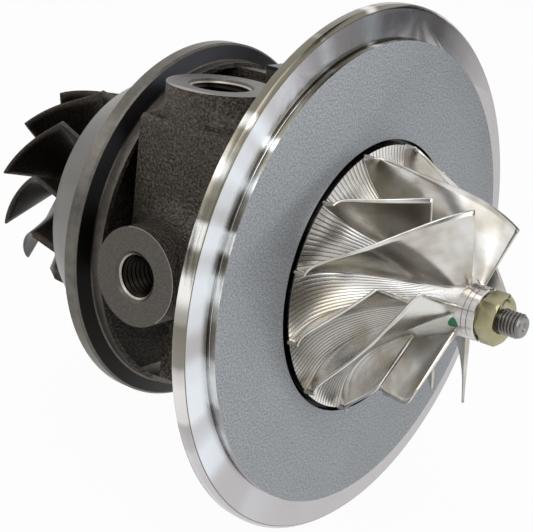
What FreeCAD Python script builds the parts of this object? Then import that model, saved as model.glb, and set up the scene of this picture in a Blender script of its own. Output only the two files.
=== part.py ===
import FreeCAD, Part
import math
import operator
import os
from types import SimpleNamespace

import Sketcher

# Turbo cartridge: the bearing housing of an exhaust turbocharger with its rotor.
# Lengths are in millimetres and angles in degrees. X is the shaft axis and points
# to the compressor nut, +Z is up, and the side coolant port points along -Y.
# The origin lies on the shaft axis in the raised front face of the backplate.

SIZES = {
    # Compressor backplate
    "plate_radius": 68.4,
    "plate_rim_depth": 5.4,
    "plate_hub_depth": 9.4,
    "plate_hub_radius": 46.0,
    "rim_chamfer": 0.95,
    "pilot_radius": 60.0,
    "pilot_height": 2.26,
    "pilot_relief": 0.6,
    "wheel_recess_depth": 2.2,
    "spigot_radius": 21.0,
    "spigot_length": 2.2,
    "spigot_fit": 0.05,
    # Compressor wheel
    "wheel_radius": 34.3,
    "wheel_recess_gap": 1.2,
    "wheel_back_gap": 1.0,
    "wheel_rim_thickness": 2.0,
    "inducer_radius": 26.0,
    "inducer_place": 29.0,
    "splitter_place": 18.6,
    "nose_radius": 6.7,
    "nose_end": 34.2,
    "exducer_height": 2.6,
    "wheel_wrap": 66.9,
    "wheel_phase": 40.0,
    "wheel_blade_root": 1.4,
    "wheel_blade_tip": 0.7,
    "bore_slip": 0.03,
    # Shaft nut
    "nut_across_flats": 11.5,
    "nut_thickness": 4.7,
    "nut_washer_height": 0.4,
    "nut_chamfer": 0.7,
    "nut_turn": 12.0,
    # Rotor shaft
    "stub_radius": 3.175,
    "stub_end": 44.3,
    "stub_chamfer": 0.7,
    "centre_hole_radius": 1.1,
    "centre_hole_depth": 1.65,
    "journal_radius": 5.08,
    "journal_relief": 0.4,
    "seal_land_radius": 8.7,
    "seal_land_gap": 0.3,
    "piston_groove_depth": 1.6,
    "piston_ring_width": 1.6,
    "piston_ring_side_gap": 0.12,
    "piston_ring_bore_gap": 0.3,
    "ring_slit": 0.8,
    # Turbine wheel
    "exducer_place": 107.9,
    "exducer_radius": 26.6,
    "turbine_corner_place": 92.4,
    "turbine_radius": 30.0,
    "turbine_back_place": 79.8,
    "turbine_disc_radius": 27.0,
    "turbine_disc_thickness": 1.6,
    "turbine_hub_radius": 7.2,
    "turbine_nose_length": 4.5,
    "turbine_nose_chamfer": 1.0,
    "turbine_turning": 36.8,
    "turbine_lean": 8.0,
    "turbine_phase": 103.5,
    "turbine_blade_root": 1.9,
    "turbine_blade_tip": 1.1,
    # Heat shield
    "shield_place": 78.9,
    "shield_radius": 35.6,
    "shield_base_radius": 45.0,
    "shield_flange_width": 1.8,
    "shield_sheet": 0.9,
    "shield_wall": 1.0,
    "shield_hole_radius": 10.4,
    "shield_corner": 1.6,
    # Bearing housing, turned and cored shape
    "flange_radius": 49.5,
    "flange_front": 55.2,
    "flange_rear": 58.9,
    "flange_chamfer": 0.5,
    "flange_cone": 1.7,
    "lip_radius": 45.1,
    "lip_width": 1.3,
    "lip_rise": 4.6,
    "web_sink": 0.3,
    "neck_radius": 27.0,
    "rear_spigot_radius": 37.5,
    "rear_spigot_length": 3.0,
    "nose_cone_radius": 14.0,
    "nose_cone_base": 31.0,
    "nose_place": 77.1,
    "plate_flange_radius": 38.0,
    "plate_flange_thickness": 7.6,
    # Bearing housing, cast block
    "block_rear": 48.4,
    "block_front": 20.5,
    "block_side": 37.0,
    "block_top": 35.8,
    "drain_side": 21.5,
    "drain_face": 37.9,
    "drain_shoulder": 19.0,
    "jacket_low": 8.0,
    "block_corner": 4.0,
    "block_edge": 1.6,
    "top_boss_fillet": 5.0,
    "side_boss_fillet": 6.0,
    # Ports and pads
    "top_port_x": 35.0,
    "top_port_y": 23.5,
    "top_port_face": 44.2,
    "top_boss_radius": 13.5,
    "top_port_radius": 7.2,
    "top_port_mouth": 8.2,
    "top_port_depth": 15.0,
    "side_port_x": 34.0,
    "side_port_face": 50.6,
    "side_boss_radius": 12.35,
    "side_port_radius": 5.2,
    "side_port_mouth": 6.4,
    "side_port_depth": 14.0,
    "oil_pad_x": 28.0,
    "oil_pad_y": 12.5,
    "oil_pad_face": 46.5,
    "oil_pad_half": 12.0,
    "oil_pad_front": 7.2,
    "oil_root_near": 1.5,
    "oil_root_far": 24.0,
    "oil_root_radius": 44.1,
    "oil_port_radius": 4.4,
    "oil_port_mouth": 5.2,
    "oil_port_depth": 20.0,
    "drain_x": 40.0,
    "drain_radius": 7.0,
    "drain_depth": 20.0,
    "drain_core_radius": 5.5,
    "drain_bolt_spacing": 28.0,
    "drain_bolt_radius": 3.4,
    "drain_bolt_depth": 14.0,
    # Journal bearings and their clips
    "bush_radius": 7.95,
    "bush_shaft_gap": 0.03,
    "bush_housing_gap": 0.05,
    "bush_length": 8.0,
    "turbine_bush_place": 58.0,
    "compressor_bush_place": 27.2,
    "bush_clip_gap": 0.12,
    "bush_oil_groove": 0.5,
    "bush_oil_groove_half": 1.26,
    "bush_oil_hole_radius": 0.9,
    "clip_thickness": 0.9,
    "clip_groove_width": 1.0,
    "clip_groove_depth": 0.9,
    "clip_groove_gap": 0.1,
    "clip_width": 2.0,
    "clip_opening": 30.0,
    "seal_bore_length": 6.8,
    "oil_gallery_radius": 10.6,
    "oil_gallery_width": 2.0,
    # Thrust bearing, collar and spacer
    "thrust_seat": 19.0,
    "thrust_plate_thickness": 3.5,
    "thrust_plate_gap": 0.2,
    "thrust_plate_flat": 14.0,
    "thrust_end_play": 0.1,
    "thrust_flange_radius": 8.5,
    "thrust_flange_thickness": 2.2,
    "thrust_flange_gap": 0.5,
    "collar_pocket_gap": 0.24,
    "collar_hub_radius": 5.0,
    "collar_hub_gap": 0.4,
    "spacer_land_radius": 7.0,
    "dowel_radius": 1.5,
    "dowel_spread": 14.0,
    "dowel_height": 7.0,
    "dowel_depth": 5.0,
    # Oil deflector
    "deflector_sheet": 1.0,
    "deflector_rim": 1.1,
    "deflector_hole_gap": 0.6,
    # Seal ring and screws of the backplate
    "seal_inner_radius": 22.7,
    "seal_section": 2.2,
    "seal_groove_depth": 1.9,
    "screw_circle": 29.5,
    "screw_radius": 2.9,
    "screw_hole_gap": 0.1,
    "screw_reach": 11.0,
    "screw_head_radius": 4.4,
    "screw_head_gap": 0.2,
    "screw_head_height": 3.4,
    "screw_head_sink": 0.5,
    "screw_socket_radius": 2.3,
    "screw_socket_depth": 1.8,
}
CUT_ROOM = 1.0
WHEEL_BLADES = 6
TURBINE_BLADES = 11
PLATE_SCREWS = 4
BUSH_OIL_HOLES = 4

OPERATIONS = {"+": operator.add, "-": operator.sub, "*": operator.mul, "/": operator.truediv}


class Size:
    """A number together with the sheet expression that gives it."""

    def __init__(self, value, text):
        self.value = value
        self.text = text

    def __add__(self, other):
        return combined(self, "+", other)

    def __radd__(self, other):
        return combined(other, "+", self)

    def __sub__(self, other):
        return combined(self, "-", other)

    def __rsub__(self, other):
        return combined(other, "-", self)

    def __mul__(self, other):
        return combined(self, "*", other)

    def __rmul__(self, other):
        return combined(other, "*", self)

    def __truediv__(self, other):
        return combined(self, "/", other)

    def __neg__(self):
        return combined(0, "-", self)


def as_size(number):
    return number if isinstance(number, Size) else Size(number, str(number))


def combined(left, sign, right):
    left = as_size(left)
    right = as_size(right)
    value = OPERATIONS[sign](left.value, right.value)
    return Size(value, f"({left.text} {sign} {right.text})")


def other_leg(long_side, leg):
    """Third side of a right triangle."""
    square = long_side * long_side - leg * leg
    return Size(math.sqrt(square.value), f"sqrt({square.text})")


doc = FreeCAD.newDocument("turbo_cartridge")
sheet = doc.addObject("Spreadsheet::Sheet", "Sizes")
for row, (alias, number) in enumerate(SIZES.items(), start=1):
    sheet.set(f"A{row}", alias)
    sheet.set(f"B{row}", str(number))
    sheet.setAlias(f"B{row}", alias)
doc.recompute()
s = SimpleNamespace(**{alias: Size(number, f"Sizes.{alias}") for alias, number in SIZES.items()})

# Places along the shaft that several pieces share
plate_front = as_size(0)
plate_step = -s.pilot_height
plate_rim_rear = -s.plate_rim_depth
plate_hub_rear = -s.plate_hub_depth
spigot_rear = plate_hub_rear - s.spigot_length
recess_floor = -s.wheel_recess_depth
wheel_back = recess_floor + s.wheel_back_gap
wheel_rim_front = wheel_back + s.wheel_rim_thickness
thrust_rear = -s.thrust_seat
thrust_front = thrust_rear + s.thrust_plate_thickness
collar_front = thrust_rear - s.thrust_end_play
collar_rear = collar_front - s.thrust_flange_thickness
spacer_rear = thrust_front + s.thrust_end_play
spacer_flange_front = spacer_rear + s.thrust_flange_thickness
collar_pocket_radius = s.thrust_flange_radius + s.thrust_flange_gap
collar_pocket_floor = collar_rear - s.collar_pocket_gap
thrust_recess_radius = s.spigot_radius + s.spigot_fit
bearing_bore = s.bush_radius + s.bush_housing_gap
seal_bore = s.seal_land_radius + s.seal_land_gap
spacer_bore = s.spacer_land_radius + s.seal_land_gap
housing_nose = -s.nose_place
seal_bore_front = housing_nose + s.seal_bore_length
gallery_front = seal_bore_front + s.oil_gallery_width
land_front = seal_bore_front - s.piston_ring_side_gap
turbine_back = -s.turbine_back_place
turbine_ring_rear = housing_nose + (s.seal_bore_length - s.piston_ring_width) / 2
compressor_ring_rear = spigot_rear + (recess_floor - spigot_rear - s.piston_ring_width) / 2
screw_seat = recess_floor - s.screw_head_sink - s.screw_head_height
web_front = -s.flange_front - s.web_sink
lip_front = -s.flange_front + s.lip_rise


def origin_plane(body, role):
    for feature in body.Origin.OriginFeatures:
        if feature.Role == role:
            return feature
    raise LookupError(role)


def new_body(label):
    body = doc.addObject("PartDesign::Body", label)
    body.Label = label
    return body


def sketch_on(body, name, role, offset=None):
    """Empty sketch on one of the body's own origin planes, moved along its normal."""
    sketch = body.newObject("Sketcher::SketchObject", name)
    sketch.AttachmentSupport = (origin_plane(body, role), [""])
    sketch.MapMode = "FlatFace"
    if offset is not None:
        sketch.AttachmentOffset = FreeCAD.Placement(FreeCAD.Vector(0, 0, offset.value), FreeCAD.Rotation())
        sketch.setExpression("AttachmentOffset.Base.z", offset.text)
    return sketch


def fix(sketch, kind, size, *place):
    """One driving dimension of a sketch, bound to the sheet."""
    index = sketch.addConstraint(Sketcher.Constraint(kind, *place, size.value))
    sketch.setExpression(f"Constraints[{index}]", size.text)


def arc_between(start, end, radius):
    """Arc that turns left on its way from one point to another."""
    half = (end - start) * 0.5
    left = FreeCAD.Vector(-half.y, half.x, 0).normalize()
    middle = start + half + left * math.sqrt(radius ** 2 - half.Length ** 2)
    ring = Part.Circle(middle, FreeCAD.Vector(0, 0, 1), radius)
    return Part.ArcOfCircle(ring, ring.parameter(start), ring.parameter(end))


def closed_outline(sketch, corners, arcs=()):
    """Closed outline whose corners are dimensioned from the sketch origin.

    arcs holds (side, radius) pairs: that side of the outline turns left with that radius, the
    others are straight.
    """
    corners = [(as_size(across), as_size(up)) for across, up in corners]
    points = [FreeCAD.Vector(across.value, up.value, 0) for across, up in corners]
    bends = dict(arcs)
    for index, (start, end) in enumerate(zip(points, points[1:] + points[:1])):
        if index in bends:
            sketch.addGeometry(arc_between(start, end, bends[index].value))
        else:
            sketch.addGeometry(Part.LineSegment(start, end))
    for index in range(len(points)):
        after = (index + 1) % len(points)
        sketch.addConstraint(Sketcher.Constraint("Coincident", index, 2, after, 1))
    for index, radius in bends.items():
        fix(sketch, "Radius", radius, index)
    for index, (across, up) in enumerate(corners):
        fix(sketch, "DistanceX", across, -1, 1, index, 1)
        fix(sketch, "DistanceY", up, -1, 1, index, 1)


def circle(sketch, across, up, radius):
    across, up, radius = as_size(across), as_size(up), as_size(radius)
    place = FreeCAD.Vector(across.value, up.value, 0)
    index = sketch.addGeometry(Part.Circle(place, FreeCAD.Vector(0, 0, 1), radius.value))
    fix(sketch, "DistanceX", across, -1, 1, index, 3)
    fix(sketch, "DistanceY", up, -1, 1, index, 3)
    fix(sketch, "Radius", radius, index)


def turned(body, name, corners):
    """Solid of revolution about the shaft axis; corners are (along the axis, radius)."""
    sketch = sketch_on(body, f"{name}_outline", "XY_Plane")
    closed_outline(sketch, corners)
    feature = body.newObject("PartDesign::Revolution", name)
    feature.Profile = sketch
    feature.ReferenceAxis = (sketch, ["H_Axis"])
    feature.Angle = 360
    return feature


def turned_cut(body, name, corners):
    """Revolved cut about the shaft axis, checked to have taken material away."""
    doc.recompute()
    before = body.Shape.Volume
    sketch = sketch_on(body, f"{name}_outline", "XY_Plane")
    closed_outline(sketch, corners)
    feature = body.newObject("PartDesign::Groove", name)
    feature.Profile = sketch
    feature.ReferenceAxis = (sketch, ["H_Axis"])
    feature.Angle = 360
    doc.recompute()
    check_cut(body, name, before)
    return feature


def check_cut(body, name, before):
    if not body.Shape.Volume < before:
        raise ValueError(f"{name} cuts nothing from {body.Label}")


def pad(body, name, sketch, length):
    feature = body.newObject("PartDesign::Pad", name)
    feature.Profile = sketch
    feature.Length = length.value
    feature.setExpression("Length", length.text)
    return feature


def pocket(body, name, sketch, length, reversed_way=False):
    """Cut of a given depth, checked to have taken material away."""
    doc.recompute()
    before = body.Shape.Volume
    feature = body.newObject("PartDesign::Pocket", name)
    feature.Profile = sketch
    feature.Length = length.value
    feature.setExpression("Length", length.text)
    feature.Reversed = reversed_way
    doc.recompute()
    check_cut(body, name, before)
    return feature


def edges_where(shape, wanted):
    return [f"Edge{index}" for index, edge in enumerate(shape.Edges, start=1) if wanted(edge)]


def rounded(body, name, kind, base, wanted, size):
    """Fillet or chamfer of the base feature's edges that satisfy a test."""
    doc.recompute()
    names = edges_where(base.Shape, wanted)
    if not names:
        raise ValueError(f"{name} finds no edge on {body.Label}")
    feature = body.newObject(f"PartDesign::{kind}", name)
    feature.Base = (base, names)
    prop = "Radius" if kind == "Fillet" else "Size"
    setattr(feature, prop, size.value)
    feature.setExpression(prop, size.text)
    doc.recompute()
    return feature


def round_edge(edge, normal_axis, place, radius):
    """True for a full circle of this radius in the plane across an axis at a place."""
    if not isinstance(edge.Curve, Part.Circle) or abs(edge.Curve.Radius - radius.value) > 0.01:
        return False
    centre = edge.Curve.Center
    along = {"X": centre.x, "Y": centre.y, "Z": centre.z}[normal_axis]
    return abs(along - place.value) < 0.01


def polar_copies(body, feature, count):
    pattern = body.newObject("PartDesign::PolarPattern", f"{feature.Name}_pattern")
    pattern.Originals = [feature]
    pattern.Axis = (origin_plane(body, "X_Axis"), [""])
    pattern.Angle = 360
    pattern.Occurrences = count
    body.Tip = pattern
    return pattern


def built(label, shape):
    """Document object for a shape made by the functions above it."""
    feature = doc.addObject("Part::Feature", label)
    feature.Label = label
    feature.Shape = shape
    feature.Placement = FreeCAD.Placement()
    return feature


def shaft_point(along, radius, angle):
    """Point at a place along the shaft, a radius and an angle in radians from +Y to +Z."""
    return FreeCAD.Vector(along, radius * math.cos(angle), radius * math.sin(angle))


def revolved_face(edges):
    """Full revolution about the shaft of the face that closed edges bound."""
    face = Part.Face(Part.Wire(edges))
    return face.revolve(FreeCAD.Vector(0, 0, 0), FreeCAD.Vector(1, 0, 0), 360)


def through(points):
    """Smooth edge through points."""
    curve = Part.BSplineCurve()
    curve.interpolate(points)
    return curve.toShape()


def path(points):
    return [Part.makeLine(start, end) for start, end in zip(points, points[1:])]


def blade(stations, root_thickness, tip_thickness):
    """Blade lofted through thin four-cornered sections.

    stations holds (root point, tip point) pairs from one end of the blade to the other. Each
    section is thickened square to the blade's own surface.
    """
    middles = [(root + tip) * 0.5 for root, tip in stations]
    sections = []
    for index, (root, tip) in enumerate(stations):
        ahead = middles[min(index + 1, len(middles) - 1)]
        behind = middles[max(index - 1, 0)]
        side = (tip - root).cross(ahead - behind).normalize()
        half_root = side * (root_thickness / 2)
        half_tip = side * (tip_thickness / 2)
        corners = [root + half_root, tip + half_tip, tip - half_tip, root - half_root]
        sections.append(Part.makePolygon(corners + corners[:1]))
    return Part.makeLoft(sections, True, False)


def around_shaft(shape, count):
    axis = FreeCAD.Vector(1, 0, 0)
    centre = FreeCAD.Vector(0, 0, 0)
    return [shape.rotated(centre, axis, 360 / count * index) for index in range(count)]


# Compressor wheel: hub and shroud are flattened quarter ellipses that the blades follow
HUB_FULLNESS = (1.7, 0.8)
SHROUD_FULLNESS = (0.97, 1.73)
WRAP_COURSE = (2.58, -2.55, 0.97)
HUB_STEPS = 12
WHEEL_STATIONS = 9
ROOT_OVERLAP = 1.0
TRIM_ROOM = 1.5


def quarter_curve(share, inner, outer, fullness):
    """Point (along, radius) at a share 0 to 1 of the way from the inlet to the rim."""
    turn = share * math.pi / 2
    along = outer[0] + (inner[0] - outer[0]) * (1 - math.sin(turn) ** fullness[0])
    radius = outer[1] - (outer[1] - inner[1]) * math.cos(turn) ** fullness[1]
    return along, radius


def quarter_share(along, inner, outer, fullness):
    """Share of the curve at which it reaches a place along the shaft."""
    rise = 1 - (along - outer[0]) / (inner[0] - outer[0])
    return math.asin(rise ** (1 / fullness[0])) * 2 / math.pi


def wheel_hub_curve():
    inner = (s.inducer_place.value, s.nose_radius.value)
    outer = (wheel_rim_front.value, s.wheel_radius.value)
    return inner, outer, HUB_FULLNESS


def wheel_shroud_curve():
    inner = (s.inducer_place.value, s.inducer_radius.value)
    outer = (wheel_rim_front.value + s.exducer_height.value, s.wheel_radius.value)
    return inner, outer, SHROUD_FULLNESS


def wheel_angle(share):
    """How far a blade has wrapped round the hub, most of it near the inlet."""
    wrap = math.radians(s.wheel_wrap.value)
    return wrap * sum(part * share ** (power + 1) for power, part in enumerate(WRAP_COURSE))


def wheel_blade(hub_start, shroud_start, angle):
    stations = []
    for index in range(WHEEL_STATIONS):
        step = index / (WHEEL_STATIONS - 1)
        hub_share = hub_start + (1 - hub_start) * step
        shroud_share = shroud_start + (1 - shroud_start) * step
        along, radius = quarter_curve(hub_share, *wheel_hub_curve())
        hub_point = shaft_point(along, radius, angle + wheel_angle(hub_share))
        along, radius = quarter_curve(shroud_share, *wheel_shroud_curve())
        tip = shaft_point(along, radius, angle + wheel_angle(shroud_share))
        root = hub_point + (hub_point - tip).normalize() * ROOT_OVERLAP
        stations.append((root, tip))
    return blade(stations, s.wheel_blade_root.value, s.wheel_blade_tip.value)


def hub_contour(curve):
    """Points along a hub from the end of its nose to its rim."""
    places = [quarter_curve(index / HUB_STEPS, *curve) for index in range(HUB_STEPS + 1)]
    return [FreeCAD.Vector(along, radius, 0) for along, radius in places]


def compressor_wheel():
    """Hub with its nose; the blades stand on it as pieces of their own."""
    bore = s.stub_radius.value + s.bore_slip.value
    back = wheel_back.value
    rim = s.wheel_radius.value
    contour = hub_contour(wheel_hub_curve())
    nose = [contour[0]]
    nose.append(FreeCAD.Vector(s.nose_end.value, s.nose_radius.value, 0))
    nose.append(FreeCAD.Vector(s.nose_end.value, bore, 0))
    nose.append(FreeCAD.Vector(back, bore, 0))
    nose.append(FreeCAD.Vector(back, rim, 0))
    nose.append(contour[-1])
    return revolved_face([through(contour)] + path(nose))


def wheel_blade_room():
    """Space over the hub's surface, out to the wheel's rim, that the blades are trimmed to."""
    contour = hub_contour(wheel_hub_curve())
    front = s.inducer_place.value + TRIM_ROOM
    rest = [contour[-1]]
    rest.append(FreeCAD.Vector(front, s.wheel_radius.value, 0))
    rest.append(FreeCAD.Vector(front, s.nose_radius.value, 0))
    rest.append(contour[0])
    return revolved_face([through(contour)] + path(rest))


def compressor_wheel_blades():
    """Full blades and splitters, each a solid that stands face to face on the hub."""
    start = math.radians(s.wheel_phase.value)
    half_pitch = math.pi / WHEEL_BLADES
    split = s.splitter_place.value
    hub_start = quarter_share(split, *wheel_hub_curve())
    shroud_start = quarter_share(split, *wheel_shroud_curve())
    room = wheel_blade_room()
    blades = []
    for blank in (
        wheel_blade(0, 0, start),
        wheel_blade(hub_start, shroud_start, start + half_pitch),
    ):
        blades += around_shaft(blank.common(room).Solids[0], WHEEL_BLADES)
    return Part.makeCompound(blades)


# Turbine wheel: radial blades that turn away from the shaft line towards the outlet
TURBINE_STATIONS = 9
TURNING_COURSE = (1.9, -0.9)
TIP_STEPS = 8
TIP_POWER = 3
TURBINE_HUB_FULLNESS = (1.15, 1.15)
TIP_OVERSIZE = 1.5


def turbine_angle(along):
    corner = -s.turbine_corner_place.value
    outlet = -s.exducer_place.value
    turning = math.radians(s.turbine_turning.value)
    lean = math.radians(s.turbine_lean.value)
    if along > corner:
        return lean * (along - corner) / (turbine_back.value - corner) - turning
    share = (along - outlet) / (corner - outlet)
    return -turning * (TURNING_COURSE[0] * share + TURNING_COURSE[1] * share ** 2)


def turbine_tip_radius(share):
    """Tip radius between the outlet and the corner, where share runs 0 to 1."""
    growth = s.turbine_radius.value - s.exducer_radius.value
    return s.exducer_radius.value + growth * share ** TIP_POWER


def turbine_hub_curve():
    inner = (-s.exducer_place.value, s.turbine_hub_radius.value)
    outer = (turbine_back.value - s.turbine_disc_thickness.value, s.turbine_disc_radius.value)
    return inner, outer, TURBINE_HUB_FULLNESS


def turbine_blade_room():
    """Space over the hub that the blades are turned down to: plain inlet, flared outlet."""
    corner = -s.turbine_corner_place.value
    outlet = -s.exducer_place.value
    front = turbine_back.value - s.turbine_disc_thickness.value / 2
    flare = []
    for index in range(TIP_STEPS + 1):
        share = index / TIP_STEPS
        flare.append(FreeCAD.Vector(outlet + (corner - outlet) * share, turbine_tip_radius(share), 0))
    contour = hub_contour(turbine_hub_curve())
    rest = [flare[-1]]
    rest.append(FreeCAD.Vector(front, s.turbine_radius.value, 0))
    rest.append(FreeCAD.Vector(front, s.turbine_disc_radius.value, 0))
    rest.append(contour[-1])
    closing = [contour[0], flare[0]]
    return revolved_face([through(flare)] + path(rest) + [through(contour)] + path(closing))


def turbine_wheel_blades():
    """Each blade a solid that stands face to face on the hub."""
    angle = math.radians(s.turbine_phase.value)
    outlet = -s.exducer_place.value
    back = turbine_back.value
    stations = []
    for index in range(TURBINE_STATIONS):
        along = outlet + (back - outlet) * index / (TURBINE_STATIONS - 1)
        turn = angle + turbine_angle(along)
        root = shaft_point(along, s.turbine_hub_radius.value - ROOT_OVERLAP, turn)
        tip = shaft_point(along, s.turbine_radius.value + TIP_OVERSIZE, turn)
        stations.append((root, tip))
    blank = blade(stations, s.turbine_blade_root.value, s.turbine_blade_tip.value)
    trimmed = blank.common(turbine_blade_room()).Solids[0]
    return Part.makeCompound(around_shaft(trimmed, TURBINE_BLADES))


def turbine_wheel():
    """Hub with its thin disc and nose; the blades stand on it as pieces of their own."""
    back = turbine_back.value
    disc = s.turbine_disc_radius.value
    hub = s.turbine_hub_radius.value
    chamfer = s.turbine_nose_chamfer.value
    nose_end = -s.exducer_place.value - s.turbine_nose_length.value
    contour = hub_contour(turbine_hub_curve())
    nose = [contour[0]]
    nose.append(FreeCAD.Vector(nose_end + chamfer, hub - chamfer / 2, 0))
    nose.append(FreeCAD.Vector(nose_end, hub - chamfer * 1.5, 0))
    nose.append(FreeCAD.Vector(nose_end, 0, 0))
    nose.append(FreeCAD.Vector(back, 0, 0))
    nose.append(FreeCAD.Vector(back, disc, 0))
    nose.append(contour[-1])
    return revolved_face([through(contour)] + path(nose))


def compressor_backplate():
    """Stepped plate: polished rim, blasted raised face, wheel recess and rear spigot."""
    body = new_body("compressor_backplate")
    relief = plate_step + s.pilot_relief
    turned(body, "plate", [
        (recess_floor, spacer_bore),
        (recess_floor, s.wheel_radius + s.wheel_recess_gap),
        (plate_front, s.wheel_radius + s.wheel_recess_gap),
        (plate_front, s.pilot_radius),
        (relief, s.pilot_radius),
        (relief, s.pilot_radius - s.pilot_relief),
        (plate_step, s.pilot_radius - s.pilot_relief),
        (plate_step, s.plate_radius - s.rim_chamfer),
        (plate_step - s.rim_chamfer, s.plate_radius),
        (plate_rim_rear, s.plate_radius),
        (plate_rim_rear, s.plate_hub_radius),
        (plate_hub_rear, s.plate_hub_radius),
        (plate_hub_rear, s.spigot_radius),
        (spigot_rear, s.spigot_radius),
        (spigot_rear, spacer_bore),
    ])
    sink = sketch_on(body, "screw_sink_outline", "YZ_Plane", recess_floor)
    circle(sink, s.screw_circle, 0, s.screw_head_radius + s.screw_head_gap)
    sinks = pocket(body, "screw_sink", sink, s.screw_head_height + s.screw_head_sink)
    polar_copies(body, sinks, PLATE_SCREWS)
    hole = sketch_on(body, "screw_hole_outline", "YZ_Plane", recess_floor)
    circle(hole, s.screw_circle, 0, s.screw_radius + s.screw_hole_gap)
    holes = pocket(body, "screw_hole", hole, s.plate_hub_depth)
    polar_copies(body, holes, PLATE_SCREWS)
    return body


def backplate_screws():
    """Socket screws sunk under the compressor wheel."""
    body = new_body("backplate_screws")
    head = screw_seat + s.screw_head_height
    outline = sketch_on(body, "screw_outline", "XY_Plane")
    closed_outline(outline, [
        (screw_seat, s.screw_circle),
        (head - s.screw_socket_depth, s.screw_circle),
        (head - s.screw_socket_depth, s.screw_circle + s.screw_socket_radius),
        (head, s.screw_circle + s.screw_socket_radius),
        (head, s.screw_circle + s.screw_head_radius),
        (screw_seat, s.screw_circle + s.screw_head_radius),
        (screw_seat, s.screw_circle + s.screw_radius),
        (plate_hub_rear - s.screw_reach, s.screw_circle + s.screw_radius),
        (plate_hub_rear - s.screw_reach, s.screw_circle),
    ])
    axis = outline.addGeometry(Part.LineSegment(
        FreeCAD.Vector(screw_seat.value, s.screw_circle.value, 0),
        FreeCAD.Vector(head.value, s.screw_circle.value, 0)), True)
    fix(outline, "DistanceX", screw_seat, -1, 1, axis, 1)
    fix(outline, "DistanceX", head, -1, 1, axis, 2)
    fix(outline, "DistanceY", s.screw_circle, -1, 1, axis, 1)
    fix(outline, "DistanceY", s.screw_circle, -1, 1, axis, 2)
    feature = body.newObject("PartDesign::Revolution", "screw")
    feature.Profile = outline
    feature.ReferenceAxis = (outline, ["Axis0"])
    feature.Angle = 360
    doc.recompute()
    copies = Part.makeCompound(around_shaft(body.Shape, PLATE_SCREWS))
    body.Label = "backplate_screw_pattern"
    return built("backplate_screws", copies)


def backplate_seal_ring():
    body = new_body("backplate_seal_ring")
    floor = plate_hub_rear - s.seal_groove_depth
    turned(body, "seal", [
        (floor, s.seal_inner_radius),
        (plate_hub_rear, s.seal_inner_radius),
        (plate_hub_rear, s.seal_inner_radius + s.seal_section),
        (floor, s.seal_inner_radius + s.seal_section),
    ])
    return body


def housing_turned(body):
    """Turned flanges, neck and nose, still without bores."""
    flange_front = -s.flange_front
    flange_rear = -s.flange_rear
    spigot_end = flange_rear - s.rear_spigot_length
    edge = s.flange_radius - s.flange_chamfer
    return turned(body, "turned_shape", [
        (plate_hub_rear, 0),
        (plate_hub_rear, s.plate_flange_radius),
        (plate_hub_rear - s.plate_flange_thickness, s.plate_flange_radius),
        (plate_hub_rear - s.plate_flange_thickness, s.neck_radius),
        (web_front, s.neck_radius),
        (web_front, s.lip_radius - s.lip_width),
        (lip_front, s.lip_radius - s.lip_width),
        (lip_front, s.lip_radius),
        (flange_front + s.flange_cone, s.lip_radius),
        (flange_front, edge),
        (flange_front - s.flange_chamfer, s.flange_radius),
        (flange_rear, s.flange_radius),
        (flange_rear, s.rear_spigot_radius),
        (spigot_end, s.rear_spigot_radius),
        (spigot_end, s.nose_cone_base),
        (housing_nose + s.seal_bore_length, s.nose_cone_radius),
        (housing_nose, s.nose_cone_radius),
        (housing_nose, 0),
    ])


def housing_block(body):
    """Cast block with the drain foot below and the coolant jacket bulging to both sides."""
    section = sketch_on(body, "block_section", "YZ_Plane", -s.block_rear)
    shoulder = -s.drain_shoulder
    closed_outline(section, [
        (-s.drain_side, -s.drain_face),
        (s.drain_side, -s.drain_face),
        (s.drain_side, shoulder),
        (s.block_side, -s.jacket_low),
        (s.block_side, s.block_top),
        (-s.block_side, s.block_top),
        (-s.block_side, -s.jacket_low),
        (-s.drain_side, shoulder),
    ])
    return pad(body, "block", section, s.block_rear - s.block_front)


def block_edge_at(edge, lowest, highest):
    """True for an edge of the block along the shaft at a height between two others."""
    if not isinstance(edge.Curve, Part.Line):
        return False
    start, end = edge.Vertexes[0].Point, edge.Vertexes[-1].Point
    straight = abs(start.y - end.y) < 0.01 and abs(start.z - end.z) < 0.01
    return straight and lowest < start.z < highest


def flare(body, name, role, offset, axis_place, top, radius, fillet, way):
    """Cut that leaves a hollow-sided flare round the root of a boss.

    The outline lies in a plane through the boss's axis, and way is the sign of the boss's own
    direction in that plane. The flare is radius wide at top and grows by the fillet down to its
    foot. Everything outside it goes.
    """
    doc.recompute()
    before = body.Shape.Volume
    outline = sketch_on(body, f"{name}_outline", role, offset)
    foot = top - fillet * way
    roof = top + fillet * way
    reach = axis_place + radius * 2 * way
    closed_outline(outline, [
        (axis_place + radius * way, top),
        (axis_place + (radius + fillet) * way, foot),
        (reach, foot),
        (reach, roof),
        (axis_place + radius * way, roof),
    ], arcs=[(0, fillet)])
    axis = outline.addGeometry(Part.LineSegment(
        FreeCAD.Vector(axis_place.value, foot.value, 0),
        FreeCAD.Vector(axis_place.value, roof.value, 0)), True)
    fix(outline, "DistanceX", axis_place, -1, 1, axis, 1)
    fix(outline, "DistanceX", axis_place, -1, 1, axis, 2)
    fix(outline, "DistanceY", foot, -1, 1, axis, 1)
    fix(outline, "DistanceY", roof, -1, 1, axis, 2)
    feature = body.newObject("PartDesign::Groove", name)
    feature.Profile = outline
    feature.ReferenceAxis = (outline, ["Axis0"])
    feature.Angle = 360
    doc.recompute()
    check_cut(body, name, before)


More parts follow.
